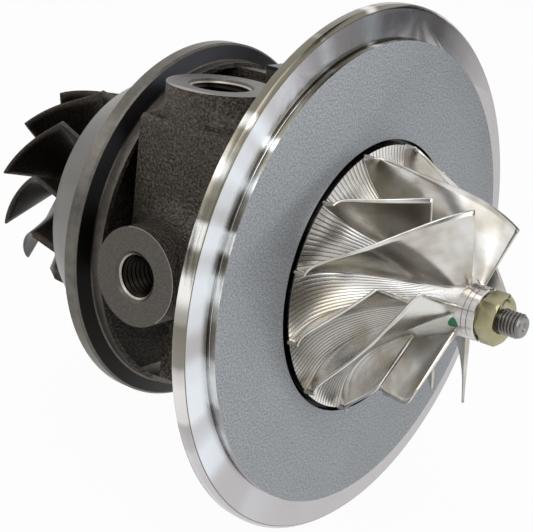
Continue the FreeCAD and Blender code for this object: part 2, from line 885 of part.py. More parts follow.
def boss_roots(body):
    """Cast flares under the top boss and the side boss, inside the block's own outline."""
    rear, front = -s.block_rear, -s.block_front
    near = -s.block_side + s.block_edge
    far = -s.top_port_y + s.top_boss_radius + s.top_boss_fillet
    top = sketch_on(body, "top_root_outline", "XY_Plane", s.block_top)
    closed_outline(top, [(rear, near), (front, near), (front, far), (rear, far)])
    pad(body, "top_root", top, s.top_boss_fillet)
    flare(body, "top_flare", "XZ_Plane", s.top_port_y, -s.top_port_x,
          s.block_top + s.top_boss_fillet, s.top_boss_radius, s.top_boss_fillet, 1)
    low = s.block_corner - s.jacket_low
    high = s.side_boss_radius + s.side_boss_fillet
    side = sketch_on(body, "side_root_outline", "XZ_Plane", s.block_side)
    closed_outline(side, [(rear, low), (front, low), (front, high), (rear, high)])
    pad(body, "side_root", side, s.side_boss_fillet)
    flare(body, "side_flare", "XY_Plane", None, -s.side_port_x,
          -s.block_side - s.side_boss_fillet, s.side_boss_radius, s.side_boss_fillet, -1)


def boss(body, name, role, face, across, up, radius):
    """Round boss padded from the shaft's plane out to its face."""
    sketch = sketch_on(body, f"{name}_outline", role)
    circle(sketch, across, up, radius)
    return pad(body, name, sketch, face)


def port(body, name, role, face, across, up, radius, mouth, depth):
    """Blind threaded port: a bore and a countersunk mouth."""
    bore = sketch_on(body, f"{name}_bore_outline", role, face)
    circle(bore, across, up, radius)
    cut = pocket(body, f"{name}_bore", bore, depth)
    width = mouth - radius
    axis = {"XY_Plane": "Z", "XZ_Plane": "Y"}[role]
    place = face if axis == "Z" else -face
    return rounded(body, f"{name}_mouth", "Chamfer", cut,
                   lambda edge: round_edge(edge, axis, place, radius), width)


def housing_bosses(body):
    """Round port bosses, and the oil pad with the root that ties it to the rear flange."""
    boss(body, "top_boss", "XY_Plane", s.top_port_face,
         -s.top_port_x, -s.top_port_y, s.top_boss_radius)
    boss(body, "side_boss", "XZ_Plane", s.side_port_face,
         -s.side_port_x, 0, s.side_boss_radius)
    rear = -s.oil_pad_x - s.oil_pad_half
    front = -s.oil_pad_x + s.oil_pad_front
    near = s.oil_pad_y - s.oil_pad_half
    far = s.oil_pad_y + s.oil_pad_half
    oil = sketch_on(body, "oil_pad_outline", "XY_Plane")
    closed_outline(oil, [(rear, near), (front, near), (front, far), (rear, far)])
    pad(body, "oil_pad", oil, s.oil_pad_face)
    root = sketch_on(body, "oil_root_outline", "YZ_Plane", web_front)
    closed_outline(root, [
        (s.oil_root_near, 0),
        (s.oil_root_far, 0),
        (s.oil_root_far, other_leg(s.oil_root_radius, s.oil_root_far)),
        (s.oil_root_near, other_leg(s.oil_root_radius, s.oil_root_near)),
    ], arcs=[(2, s.oil_root_radius)])
    pad(body, "oil_root", root, rear - web_front)


def housing_bore(body):
    """Seal bore, oil gallery, bearing bore, collar pocket and thrust recess in one cut."""
    reach = plate_hub_rear + CUT_ROOM
    turned_cut(body, "main_bore", [
        (housing_nose - CUT_ROOM, 0),
        (housing_nose - CUT_ROOM, seal_bore),
        (seal_bore_front, seal_bore),
        (seal_bore_front, s.oil_gallery_radius),
        (gallery_front, s.oil_gallery_radius),
        (gallery_front, bearing_bore),
        (collar_pocket_floor, bearing_bore),
        (collar_pocket_floor, collar_pocket_radius),
        (thrust_rear, collar_pocket_radius),
        (thrust_rear, thrust_recess_radius),
        (reach, thrust_recess_radius),
        (reach, 0),
    ])
    floor = plate_hub_rear - s.seal_groove_depth
    turned_cut(body, "seal_groove", [
        (floor, s.seal_inner_radius),
        (reach, s.seal_inner_radius),
        (reach, s.seal_inner_radius + s.seal_section),
        (floor, s.seal_inner_radius + s.seal_section),
    ])
    for name, place in clip_places():
        rear = place - s.clip_groove_width / 2
        front = place + s.clip_groove_width / 2
        turned_cut(body, f"{name}_groove", [
            (rear, bearing_bore - CUT_ROOM),
            (front, bearing_bore - CUT_ROOM),
            (front, bearing_bore + s.clip_groove_depth),
            (rear, bearing_bore + s.clip_groove_depth),
        ])


def housing_holes(body):
    port(body, "top_port", "XY_Plane", s.top_port_face, -s.top_port_x, -s.top_port_y,
         s.top_port_radius, s.top_port_mouth, s.top_port_depth)
    port(body, "oil_port", "XY_Plane", s.oil_pad_face, -s.oil_pad_x, s.oil_pad_y,
         s.oil_port_radius, s.oil_port_mouth, s.oil_port_depth)
    port(body, "side_port", "XZ_Plane", s.side_port_face, -s.side_port_x, 0,
         s.side_port_radius, s.side_port_mouth, s.side_port_depth)
    core = sketch_on(body, "drain_core_outline", "XY_Plane", -s.drain_face)
    circle(core, -s.drain_x, 0, s.drain_core_radius)
    pocket(body, "drain_core", core, s.drain_face, reversed_way=True)
    drain = sketch_on(body, "drain_outline", "XY_Plane", -s.drain_face)
    circle(drain, -s.drain_x, 0, s.drain_radius)
    pocket(body, "drain", drain, s.drain_depth, reversed_way=True)
    bolts = sketch_on(body, "drain_bolt_outline", "XY_Plane", -s.drain_face)
    for side in (-1, 1):
        circle(bolts, -s.drain_x, s.drain_bolt_spacing * side / 2, s.drain_bolt_radius)
    pocket(body, "drain_bolts", bolts, s.drain_bolt_depth, reversed_way=True)
    hole = sketch_on(body, "screw_hole_outline", "YZ_Plane", plate_hub_rear)
    circle(hole, s.screw_circle, 0, s.screw_radius + s.screw_hole_gap)
    holes = pocket(body, "screw_hole", hole, s.screw_reach + CUT_ROOM)
    polar_copies(body, holes, PLATE_SCREWS)
    dowels = sketch_on(body, "dowel_outline", "YZ_Plane", thrust_rear)
    for side in (-1, 1):
        circle(dowels, s.dowel_spread * side, s.dowel_height, s.dowel_radius)
    pocket(body, "dowel_holes", dowels, s.dowel_depth)


def centre_housing():
    """Cast bearing housing: turned flanges joined to a cored block with its ports."""
    body = new_body("centre_housing")
    block = housing_block(body)
    top_edges = rounded(body, "block_top_edges", "Fillet", block,
                        lambda edge: block_edge_at(edge, 0, math.inf), s.block_edge)
    above_drain_face = CUT_ROOM - s.drain_face.value
    rounded(body, "block_low_edges", "Fillet", top_edges,
            lambda edge: block_edge_at(edge, above_drain_face, 0), s.block_corner)
    boss_roots(body)
    housing_turned(body)
    housing_bosses(body)
    housing_bore(body)
    housing_holes(body)
    return body


def clip_places():
    """Name and middle of each snap ring, two for each bush."""
    half = s.bush_length / 2 + s.bush_clip_gap + s.clip_thickness / 2
    turbine = -s.turbine_bush_place
    compressor = -s.compressor_bush_place
    return [
        ("turbine_bearing_outer_clip", turbine - half),
        ("turbine_bearing_inner_clip", turbine + half),
        ("compressor_bearing_inner_clip", compressor - half),
        ("compressor_bearing_outer_clip", compressor + half),
    ]


def clip(name, place):
    """Snap ring in its groove, open at the bottom."""
    body = new_body(name)
    outer = bearing_bore + s.clip_groove_depth - s.clip_groove_gap
    rear = place - s.clip_thickness / 2
    front = place + s.clip_thickness / 2
    turned(body, "ring", [
        (rear, outer - s.clip_width),
        (front, outer - s.clip_width),
        (front, outer),
        (rear, outer),
    ])
    gap = sketch_on(body, "opening_outline", "YZ_Plane", front + CUT_ROOM)
    reach = outer + CUT_ROOM
    spread = reach * math.tan(math.radians(s.clip_opening.value / 2))
    closed_outline(gap, [(0, 0), (spread, -reach), (-spread, -reach)])
    pocket(body, "opening", gap, s.clip_thickness + CUT_ROOM * 2)
    return body


def bush(name, place):
    """Floating journal bearing with an outer oil groove and radial oil holes."""
    body = new_body(name)
    rear = place - s.bush_length / 2
    front = place + s.bush_length / 2
    groove = s.bush_oil_groove_half
    inner = s.journal_radius + s.bush_shaft_gap
    turned(body, "sleeve", [
        (rear, inner),
        (front, inner),
        (front, s.bush_radius),
        (place + groove, s.bush_radius),
        (place + groove, s.bush_radius - s.bush_oil_groove),
        (place - groove, s.bush_radius - s.bush_oil_groove),
        (place - groove, s.bush_radius),
        (rear, s.bush_radius),
    ])
    hole = sketch_on(body, "oil_hole_outline", "XY_Plane")
    circle(hole, place, 0, s.bush_oil_hole_radius)
    holes = pocket(body, "oil_hole", hole, s.bush_radius + CUT_ROOM, reversed_way=True)
    polar_copies(body, holes, BUSH_OIL_HOLES)
    return body


def rotor_shaft():
    """Stepped shaft: seal land, journals, waist and the thin stub for the wheel and nut."""
    body = new_body("rotor_shaft")
    waist_rear = -s.turbine_bush_place + s.bush_length
    waist_front = -s.compressor_bush_place - s.bush_length
    ring_floor = s.seal_land_radius - s.piston_groove_depth
    turned(body, "shaft", [
        (turbine_back, 0),
        (turbine_back, s.seal_land_radius),
        (turbine_ring_rear - s.piston_ring_side_gap, s.seal_land_radius),
        (turbine_ring_rear - s.piston_ring_side_gap, ring_floor),
        (turbine_ring_rear + s.piston_ring_width + s.piston_ring_side_gap, ring_floor),
        (turbine_ring_rear + s.piston_ring_width + s.piston_ring_side_gap, s.seal_land_radius),
        (land_front, s.seal_land_radius),
        (land_front, s.journal_radius),
        (waist_rear, s.journal_radius),
        (waist_rear, s.journal_radius - s.journal_relief),
        (waist_front, s.journal_radius - s.journal_relief),
        (waist_front, s.journal_radius),
        (collar_rear, s.journal_radius),
        (collar_rear, s.stub_radius),
        (s.stub_end - s.stub_chamfer, s.stub_radius),
        (s.stub_end, s.stub_radius - s.stub_chamfer),
        (s.stub_end, s.centre_hole_radius),
        (s.stub_end - s.centre_hole_depth, 0),
    ])
    return body


def thrust_collar():
    body = new_body("thrust_collar")
    bore = s.stub_radius + s.bore_slip
    turned(body, "collar", [
        (collar_rear, bore),
        (spacer_rear, bore),
        (spacer_rear, s.collar_hub_radius),
        (collar_front, s.collar_hub_radius),
        (collar_front, s.thrust_flange_radius),
        (collar_rear, s.thrust_flange_radius),
    ])
    return body


def thrust_spacer():
    """Sleeve that flings oil outwards and carries the compressor-side piston ring."""
    body = new_body("thrust_spacer")
    bore = s.stub_radius + s.bore_slip
    floor = s.spacer_land_radius - s.piston_groove_depth
    ring_front = compressor_ring_rear + s.piston_ring_width
    turned(body, "spacer", [
        (spacer_rear, bore),
        (wheel_back, bore),
        (wheel_back, s.spacer_land_radius),
        (ring_front + s.piston_ring_side_gap, s.spacer_land_radius),
        (ring_front + s.piston_ring_side_gap, floor),
        (compressor_ring_rear - s.piston_ring_side_gap, floor),
        (compressor_ring_rear - s.piston_ring_side_gap, s.spacer_land_radius),
        (spacer_flange_front, s.spacer_land_radius),
        (spacer_flange_front, s.thrust_flange_radius),
        (spacer_rear, s.thrust_flange_radius),
    ])
    return body


def thrust_bearing():
    """Bronze plate round the collar hub, flat at the bottom so that oil can leave."""
    body = new_body("thrust_bearing")
    outline = sketch_on(body, "plate_outline", "YZ_Plane", thrust_rear)
    circle(outline, 0, 0, thrust_recess_radius - s.thrust_plate_gap)
    circle(outline, 0, 0, s.collar_hub_radius + s.collar_hub_gap)
    for side in (-1, 1):
        circle(outline, s.dowel_spread * side, s.dowel_height, s.dowel_radius)
    pad(body, "plate", outline, s.thrust_plate_thickness)
    flat = sketch_on(body, "flat_outline", "YZ_Plane", thrust_front)
    reach = thrust_recess_radius
    closed_outline(flat, [
        (-reach, -reach - CUT_ROOM),
        (reach, -reach - CUT_ROOM),
        (reach, -s.thrust_plate_flat),
        (-reach, -s.thrust_plate_flat),
    ])
    pocket(body, "flat", flat, s.thrust_plate_thickness)
    return body


def thrust_bearing_pins():
    """Two dowels from the housing through the thrust plate."""
    pins = []
    rear = thrust_rear - s.dowel_depth
    length = thrust_front - rear
    for side in (-1, 1):
        place = FreeCAD.Vector(rear.value, s.dowel_spread.value * side, s.dowel_height.value)
        pins.append(Part.makeCylinder(s.dowel_radius.value, length.value, place, FreeCAD.Vector(1, 0, 0)))
    return built("thrust_bearing_pins", Part.makeCompound(pins))


def oil_deflector():
    """Stamped cup between the thrust plate and the backplate's spigot."""
    body = new_body("oil_deflector")
    outer = thrust_recess_radius - s.thrust_plate_gap
    hole = s.thrust_flange_radius + s.deflector_hole_gap
    turned(body, "cup", [
        (spigot_rear - s.deflector_sheet, hole),
        (spigot_rear, hole),
        (spigot_rear, outer),
        (thrust_front, outer),
        (thrust_front, outer - s.deflector_rim),
        (spigot_rear - s.deflector_sheet, outer - s.deflector_rim),
    ])
    return body


def piston_ring(name, rear, bore):
    """Split seal ring that springs against the housing bore."""
    body = new_body(name)
    land = bore - s.seal_land_gap
    floor = land - s.piston_groove_depth
    front = rear + s.piston_ring_width
    outer = bore - s.spigot_fit / 2
    turned(body, "ring", [
        (rear, floor + s.piston_ring_bore_gap),
        (front, floor + s.piston_ring_bore_gap),
        (front, outer),
        (rear, outer),
    ])
    slit = sketch_on(body, "slit_outline", "YZ_Plane", front + CUT_ROOM)
    half = s.ring_slit / 2
    reach = bore + CUT_ROOM
    closed_outline(slit, [(-half, 0), (half, 0), (half, reach), (-half, reach)])
    pocket(body, "slit", slit, s.piston_ring_width + CUT_ROOM * 2)
    return body


def shaft_nut():
    """Hexagon nut with a washer face behind and a chamfered front."""
    body = new_body("shaft_nut")
    seat = s.nose_end
    hexagon_rear = seat + s.nut_washer_height
    front = seat + s.nut_thickness
    corner = s.nut_across_flats / math.sqrt(3)
    outline = sketch_on(body, "hexagon_outline", "YZ_Plane", hexagon_rear)
    angles = [math.radians(60 * index + s.nut_turn.value) for index in range(6)]
    closed_outline(outline, [(corner * math.cos(turn), corner * math.sin(turn)) for turn in angles])
    pad(body, "hexagon", outline, s.nut_thickness - s.nut_washer_height)
    washer = sketch_on(body, "washer_outline", "YZ_Plane", seat)
    circle(washer, 0, 0, s.nut_across_flats / 2 - s.nut_chamfer / 2)
    pad(body, "washer", washer, s.nut_thickness / 2)
    turned_cut(body, "front_chamfer", [
        (front - s.nut_chamfer, corner),
        (front, s.nut_across_flats / 2),
        (front + CUT_ROOM, s.nut_across_flats / 2),
        (front + CUT_ROOM, corner + CUT_ROOM),
        (front - s.nut_chamfer, corner + CUT_ROOM),
    ])
    turned_cut(body, "thread_bore", [
        (seat - CUT_ROOM, 0),
        (seat - CUT_ROOM, s.stub_radius + s.bore_slip),
        (front + CUT_ROOM, s.stub_radius + s.bore_slip),
        (front + CUT_ROOM, 0),
    ])
    return body


def heat_shield():
    """Stamped cup that keeps exhaust heat off the housing."""
    body = new_body("heat_shield")
    rear = -s.shield_place
    seat = -s.flange_rear
    sheet_front = seat - s.shield_sheet
    corner = s.shield_corner
    inside = s.shield_radius - s.shield_wall
    brim = s.shield_base_radius + s.shield_flange_width
    turned(body, "cup", [
        (seat, s.shield_base_radius - s.shield_wall),
        (seat, brim),
        (sheet_front, brim),
        (sheet_front, s.shield_base_radius),
        (rear + corner, s.shield_radius),
        (rear + corner / 3, s.shield_radius - corner / 3),
        (rear, s.shield_radius - corner),
        (rear, s.shield_hole_radius),
        (rear + s.shield_sheet, s.shield_hole_radius),
        (rear + s.shield_sheet, inside - corner / 2),
        (rear + corner, inside),
    ])
    return body


def check(parts):
    """Stop if any feature failed or any piece is empty or broken."""
    doc.recompute()
    for item in doc.Objects:
        if "Invalid" in item.State or "Error" in item.State:
            raise RuntimeError(f"{item.Label}: {item.State}")
    for item in parts:
        if item.Shape.isNull() or not item.Shape.isValid() or not item.Shape.Solids:
            raise RuntimeError(f"{item.Label}: no valid solid")


def main():
    parts = [
        centre_housing(),
        compressor_backplate(),
        backplate_screws(),
        backplate_seal_ring(),
        heat_shield(),
        thrust_bearing(),
        thrust_bearing_pins(),
        oil_deflector(),
        piston_ring("turbine_piston_ring", turbine_ring_rear, seal_bore),
        piston_ring("compressor_piston_ring", compressor_ring_rear, spacer_bore),
        bush("turbine_bearing", -s.turbine_bush_place),
        bush("compressor_bearing", -s.compressor_bush_place),
        rotor_shaft(),
        thrust_collar(),
        thrust_spacer(),
        shaft_nut(),
        built("compressor_wheel", compressor_wheel()),
        built("compressor_wheel_blades", compressor_wheel_blades()),
        built("turbine_wheel", turbine_wheel()),
        built("turbine_wheel_blades", turbine_wheel_blades()),
    ]
    parts += [clip(name, place) for name, place in clip_places()]
    check(parts)
    os.makedirs("parts", exist_ok=True)
    for item in parts:
        item.Shape.exportStep(f"parts/{item.Label}.step")


main()
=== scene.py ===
"""Looks of the turbo cartridge: finishes, turned and milled surfaces, threads and studio.

Everything is in metres in the row frame: X is the shaft axis towards the compressor nut, +Z is
up and the side coolant port points along -Y. A turned piece is built in its own frame, where
local Z is the shaft axis, and is then turned onto X.
"""

import logging
import math
from dataclasses import dataclass, field
from enum import Enum

import bmesh
import bpy
import numpy as np
from mathutils import Matrix, Vector


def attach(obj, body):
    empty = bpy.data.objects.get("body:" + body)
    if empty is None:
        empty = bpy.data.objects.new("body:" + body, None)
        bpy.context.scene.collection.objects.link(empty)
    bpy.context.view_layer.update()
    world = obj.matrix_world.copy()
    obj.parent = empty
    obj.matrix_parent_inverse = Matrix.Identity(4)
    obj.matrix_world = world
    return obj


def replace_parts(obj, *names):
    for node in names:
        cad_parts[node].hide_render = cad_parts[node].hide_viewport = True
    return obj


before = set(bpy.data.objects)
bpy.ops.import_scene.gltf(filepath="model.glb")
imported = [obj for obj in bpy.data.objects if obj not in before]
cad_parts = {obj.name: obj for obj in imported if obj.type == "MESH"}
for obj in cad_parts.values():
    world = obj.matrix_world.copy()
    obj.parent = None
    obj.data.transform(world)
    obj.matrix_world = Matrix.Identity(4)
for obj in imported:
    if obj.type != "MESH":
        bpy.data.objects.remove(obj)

LOG = logging.getLogger("turbo_cartridge")
MM = 0.001
SHAFT_TO_ROW = Matrix(((0, 0, 1, 0), (1, 0, 0, 0), (0, 1, 0, 0), (0, 0, 0, 1)))
BEVEL_ANGLE = math.radians(30.0)
SHARP_ANGLE = math.radians(32.0)
WELD_DISTANCE = 0.002 * MM
FLAT_ANGLE = math.radians(0.3)


class Body(Enum):
    """Bodies of the mechanism that a piece can ride on."""

    HOUSING = "housing"
    ROTOR = "rotor"
    TURBINE_BUSH = "turbine_bush"
    COMPRESSOR_BUSH = "compressor_bush"


class Space(Enum):
    """Which way a piece's own axes lie."""

    ROW = "row"
    SHAFT = "shaft"


# Shader maths


class Signal:
    """A node output that takes part in Python arithmetic."""

    def __init__(self, graph: "Graph", socket: bpy.types.NodeSocket) -> None:
        """Wrap one output socket.

        Args:
            graph: The material graph that the socket belongs to.
            socket: The output socket.
        """
        self.graph = graph
        self.socket = socket

    def maths(self, operation: str, *operands: "Signal | float") -> "Signal":
        """Add a Math node.

        Args:
            operation: The node's operation.
            operands: Its inputs in order.

        Returns:
            The node's value.
        """
        inputs = dict(enumerate(operands))
        return self.graph.node("ShaderNodeMath", {"operation": operation}, inputs)

    def __add__(self, other: "Signal | float") -> "Signal":
        """Sum."""
        return self.maths("ADD", self, other)

    def __radd__(self, other: float) -> "Signal":
        """Sum with a number on the left."""
        return self.maths("ADD", other, self)

    def __sub__(self, other: "Signal | float") -> "Signal":
        """Difference."""
        return self.maths("SUBTRACT", self, other)

    def __rsub__(self, other: float) -> "Signal":
        """Difference with a number on the left."""
        return self.maths("SUBTRACT", other, self)

    def __mul__(self, other: "Signal | float") -> "Signal":
        """Product."""
        return self.maths("MULTIPLY", self, other)

    def __rmul__(self, other: float) -> "Signal":
        """Product with a number on the left."""
        return self.maths("MULTIPLY", other, self)

    def __truediv__(self, other: "Signal | float") -> "Signal":
        """Quotient."""
        return self.maths("DIVIDE", self, other)

    def __gt__(self, other: "Signal | float") -> "Signal":
        """One where this is the greater, else zero."""
        return self.maths("GREATER_THAN", self, other)

    def __lt__(self, other: "Signal | float") -> "Signal":
        """One where this is the lesser, else zero."""
        return self.maths("LESS_THAN", self, other)

    def sine(self) -> "Signal":
        """Sine of an angle in radians."""
        return self.maths("SINE", self)

    def root(self) -> "Signal":
        """Square root."""
        return self.maths("SQRT", self)

    def size(self) -> "Signal":
        """Absolute value."""
        return self.maths("ABSOLUTE", self)

    def ramp(self, low: float, high: float) -> "Signal":
        """Smooth rise from 0 at low to 1 at high.

        Args:
            low: Value that gives 0.
            high: Value that gives 1. It may be below low, and then the rise is a fall.

        Returns:
            The eased and limited value.
        """
        settings = {"interpolation_type": "SMOOTHSTEP"}
        if low < high:
            return self.graph.node("ShaderNodeMapRange", settings, {0: self, 1: low, 2: high})
        rising = self.graph.node("ShaderNodeMapRange", settings, {0: self, 1: high, 2: low})
        return 1.0 - rising


class Graph:
    """Nodes of one material or of the world."""

    def __init__(self, owner: bpy.types.ID) -> None:
        """Start with no nodes.

        Args:
            owner: The material or world that the nodes belong to.
        """
        owner.use_nodes = True
        self.owner = owner
        self.tree = owner.node_tree
        self.tree.nodes.clear()

    @classmethod
    def of_material(cls, name: str) -> "Graph":
        """Graph of a new material."""
        return cls(bpy.data.materials.new(name))

    def node(self, kind: str, settings: dict, inputs: dict, output: int | str = 0) -> Signal:
        """Add any node.

        Args:
            kind: The node's type.
            settings: Its properties.
            inputs: Values or signals by socket name or index.
            output: Which output is wanted.

        Returns:
            The wanted output.
        """
        made = self.tree.nodes.new(kind)
        for name, value in settings.items():
            setattr(made, name, value)
        for name, value in inputs.items():
            if isinstance(value, Signal):
                self.tree.links.new(value.socket, made.inputs[name])
            else:
                made.inputs[name].default_value = value
        return Signal(self, made.outputs[output])

    def mix(
        self, share: Signal | float, first: "Signal | tuple", second: "Signal | tuple"
    ) -> Signal:
        """Blend two colours.

        Args:
            share: How much of the second colour, 0 to 1.
            first: Colour at 0.
            second: Colour at 1.

        Returns:
            The blended colour.
        """
        first, second = (c if isinstance(c, Signal) else (*c, 1.0) for c in (first, second))
        inputs = {0: share, 6: first, 7: second}
        return self.node("ShaderNodeMix", {"data_type": "RGBA"}, inputs, 2)

    def blend(self, share: Signal, first: Signal | float, second: Signal | float) -> Signal:
        """Blend two values by a share from 0 to 1."""
        return first + share * (second - first)

    def noise(
        self, vector: Signal, period: float, detail: float = 2.0, rough: float = 0.5
    ) -> Signal:
        """Cloudy noise with a mean of about a half.

        Args:
            vector: Where it is read.
            period: Size of its features, in metres.
            detail: Octaves.
            rough: How strong the finer octaves are.

        Returns:
            The noise value.
        """
        inputs = {"Vector": vector, "Scale": 1 / period, "Detail": detail, "Roughness": rough}
        return self.node("ShaderNodeTexNoise", {}, inputs)

    def cells(self, vector: Signal, period: float) -> Signal:
        """Random grey for each cell of a cell pattern.

        Args:
            vector: Where it is read.
            period: Size of the cells, in metres.

        Returns:
            The grey, 0 to 1.
        """
        inputs = {"Vector": vector, "Scale": 1 / period}
        colour = self.node("ShaderNodeTexVoronoi", {}, inputs, "Color")
        return self.node("ShaderNodeSeparateColor", {}, {0: colour})

    def bump(self, height: Signal, depth: float) -> Signal:
        """Normal that follows a height from 0 to 1 over a depth in metres."""
        return self.node("ShaderNodeBump", {}, {"Distance": depth, "Height": height})

    def surface(self, sockets: dict) -> bpy.types.Material:
        """Finish the material with one Principled shader.

        Args:
            sockets: Values or signals by the shader's socket names.

        Returns:
            The finished material.
        """
        shader = self.node("ShaderNodeBsdfPrincipled", {}, sockets)
        return self.close(shader, "ShaderNodeOutputMaterial")

    def close(self, shader: Signal, kind: str) -> bpy.types.ID:
        """Join a shader to a new output node.

        Args:
            shader: The shader.
            kind: The output node's type.

        Returns:
            The material or world.
        """
        out = self.tree.nodes.new(kind)
        self.tree.links.new(shader.socket, out.inputs["Surface"])
        return self.owner

    def seen(self) -> Signal:
        """What the eye meets, straight, mirrored or through glass.

        Returns:
            One for such rays, else zero.
        """
        rays = ("Is Camera Ray", "Is Glossy Ray", "Is Transmission Ray")
        camera, glossy, through = (self.node("ShaderNodeLightPath", {}, {}, ray) for ray in rays)
        return camera.maths("MAXIMUM", camera, glossy.maths("MAXIMUM", glossy, through))


class Place:
    """Where a point of the surface is, in its piece's own frame."""

    def __init__(self, graph: Graph, space: Space) -> None:
        """Read the object coordinates.

        Args:
            graph: The material graph.
            space: Which of the piece's axes is the shaft.
        """
        self.vector = graph.node("ShaderNodeTexCoord", {}, {}, "Object")
        across = [graph.node("ShaderNodeSeparateXYZ", {}, {0: self.vector}, i) for i in range(3)]
        if space is Space.ROW:
            self.along, self.side, self.up = across
        else:
            self.side, self.up, self.along = across
        self.radius = (self.side * self.side + self.up * self.up).root()


# Finishes


@dataclass(frozen=True)
class Finish:
    """A plain metal or rubber with a little cloudiness and grain."""

    name: str
    slot: str
    color: tuple[float, float, float]
    roughness: float = 0.35
    metallic: float = 1.0
    anisotropy: float = 0.0
    groove_turn: float = 0.25
    grain: float = 0.4 * MM
    grain_depth: float = 0.01 * MM
    clouding: float = 0.12
    cloud_grains: float = 30.0
    unevenness: float = 0.1
    space: Space = Space.ROW

    def material(self) -> bpy.types.Material:
        """Build the node material.

        Returns:
            The material.
        """
        graph = Graph.of_material(self.name)
        place = Place(graph, self.space)
        return graph.surface(self.sockets(graph, place))

    def sockets(self, graph: Graph, place: Place) -> dict:
        """Inputs of the shader.

        Args:
            graph: The material graph.
            place: Surface coordinates.

        Returns:
            Values or signals by socket name.
        """
        clouds = graph.noise(place.vector, self.grain * self.cloud_grains, 3.0)
        dark = tuple(c * (1 - self.clouding) for c in self.color)
        light = tuple(min(1.0, c * (1 + self.clouding)) for c in self.color)
        fine = graph.noise(place.vector, self.grain, 2.0)
        return {
            "Base Color": graph.mix(clouds.ramp(0.3, 0.7), dark, light),
            "Roughness": clouds * self.unevenness + (self.roughness - self.unevenness / 2),
            "Metallic": self.metallic,
            "Anisotropic": self.anisotropy,
            "Anisotropic Rotation": self.groove_turn,
            "Normal": graph.bump(fine, self.grain_depth),
        }


@dataclass(frozen=True)
class TurnedMetal(Finish):
    """Metal from the lathe, with fine rings round the shaft."""

    ring_pitch: float = 0.28 * MM
    ring_depth: float = 0.006 * MM
    ring_wander: float = 2.0
    wander_period: float = 6 * MM

    def rings(self, graph: Graph, place: Place) -> Signal:
        """Uneven grooves that run round the shaft, as a height.

        Args:
            graph: The material graph.
            place: Surface coordinates.

        Returns:
            The height, 0 to 1.
        """
        wander = graph.noise(place.vector, self.wander_period, 1.0)
        turns = (place.radius + place.along) * (2 * math.pi / self.ring_pitch)
        phase = turns + wander * self.ring_wander
        return phase.sine() * 0.5 + 0.5

    def sockets(self, graph: Graph, place: Place) -> dict:
        """Inputs of the shader.

        Args:
            graph: The material graph.
            place: Surface coordinates.

        Returns:
            Values or signals by socket name.
        """
        found = super().sockets(graph, place)
        found["Normal"] = graph.bump(self.rings(graph, place), self.ring_depth)
        return found


@dataclass(frozen=True)
class PolishedPlate(TurnedMetal):
    """Turned plate with painted reflections: bright and dark fans that spread from the axis are
    painted on its face and walls towards the upper left, with painted shade in the recess and a
    painted dark line on the rim edge.
    """

    # Colours of the painted reflections: dark and bright fans on the walls and on the face.
    wall_painted_reflection_dark: tuple[float, float, float] = (0.20, 0.185, 0.145)
    wall_painted_reflection_bright: tuple[float, float, float] = (0.90, 0.89, 0.86)
    face_painted_reflection_dark: tuple[float, float, float] = (0.50, 0.48, 0.49)
    face_painted_reflection_bright: tuple[float, float, float] = (0.80, 0.85, 0.90)
    reflection_fan_width: float = 0.2
    wall_reflection_fan_edges: tuple[float, float] = (0.5, 0.6)
    face_reflection_fan_edges: tuple[float, float] = (0.38, 0.62)
    # Where the painted reflections fade out, so that they are painted towards the upper left.
    reflection_fade_up: tuple[float, float] = (-45 * MM, 5 * MM)
    reflection_fade_side: tuple[float, float] = (10 * MM, -50 * MM)
    reflection_fade_lean: float = 0.5
    step_radius: float = 60.0 * MM
    rim_radius: float = 67.45 * MM
    line_width: float = 0.22 * MM
    # Painted shade: the recess under the wheel rim is painted nearly black.
    recess_radius: float = 35.6 * MM
    recess_painted_shade: tuple[float, float, float] = (0.02, 0.02, 0.022)

    def fans(self, graph: Graph, place: Place, edges: tuple[float, float]) -> Signal:
        """Uneven fans of painted reflection round the axis, 0 to 1.

        Args:
            graph: The material graph.
            place: Surface coordinates.
            edges: Noise values at which a fan starts and is full.

        Returns:
            How strong the fans are.
        """
        inputs = {0: place.side / place.radius, 1: place.up / place.radius, 2: 0.0}
        direction = graph.node("ShaderNodeCombineXYZ", {}, inputs)
        return graph.noise(direction, self.reflection_fan_width, 1.0).ramp(*edges)

    def sockets(self, graph: Graph, place: Place) -> dict:
        """Inputs of the shader.

        Args:
            graph: The material graph.
            place: Surface coordinates.

        Returns:
            Values or signals by socket name.
        """
        found = super().sockets(graph, place)
        # Painted reflections: the wall fans are painted only at the upper left, and the face fans
        # towards the left.
        upper = place.up.ramp(*self.reflection_fade_up)
        left = (place.side - place.up * self.reflection_fade_lean).ramp(*self.reflection_fade_side)
        painted_wall_fans = self.fans(graph, place, self.wall_reflection_fan_edges)
        wall = graph.mix(painted_wall_fans, self.wall_painted_reflection_dark, self.wall_painted_reflection_bright)
        wall = graph.mix(upper * left, self.color, wall)
        painted_face_fans = self.fans(graph, place, self.face_reflection_fan_edges) * left
        face = graph.mix(painted_face_fans, self.face_painted_reflection_dark, self.face_painted_reflection_bright)
        outer = place.radius > self.rim_radius
        inner = (place.radius - self.step_radius).size() < self.line_width * 2
        plate = graph.mix((outer + inner) > 0.5, face, wall)
        # A thin painted dark line on the rim edge, in the dark colour of the painted reflections.
        rim_edge_painted_dark_line = (place.radius - self.rim_radius).size() < self.line_width / 2
        plate = graph.mix(rim_edge_painted_dark_line, plate, self.wall_painted_reflection_dark)
        # Painted shade inside the recess radius.
        shaded_recess = place.radius < self.recess_radius
        found["Base Color"] = graph.mix(shaded_recess, plate, self.recess_painted_shade)
        return found


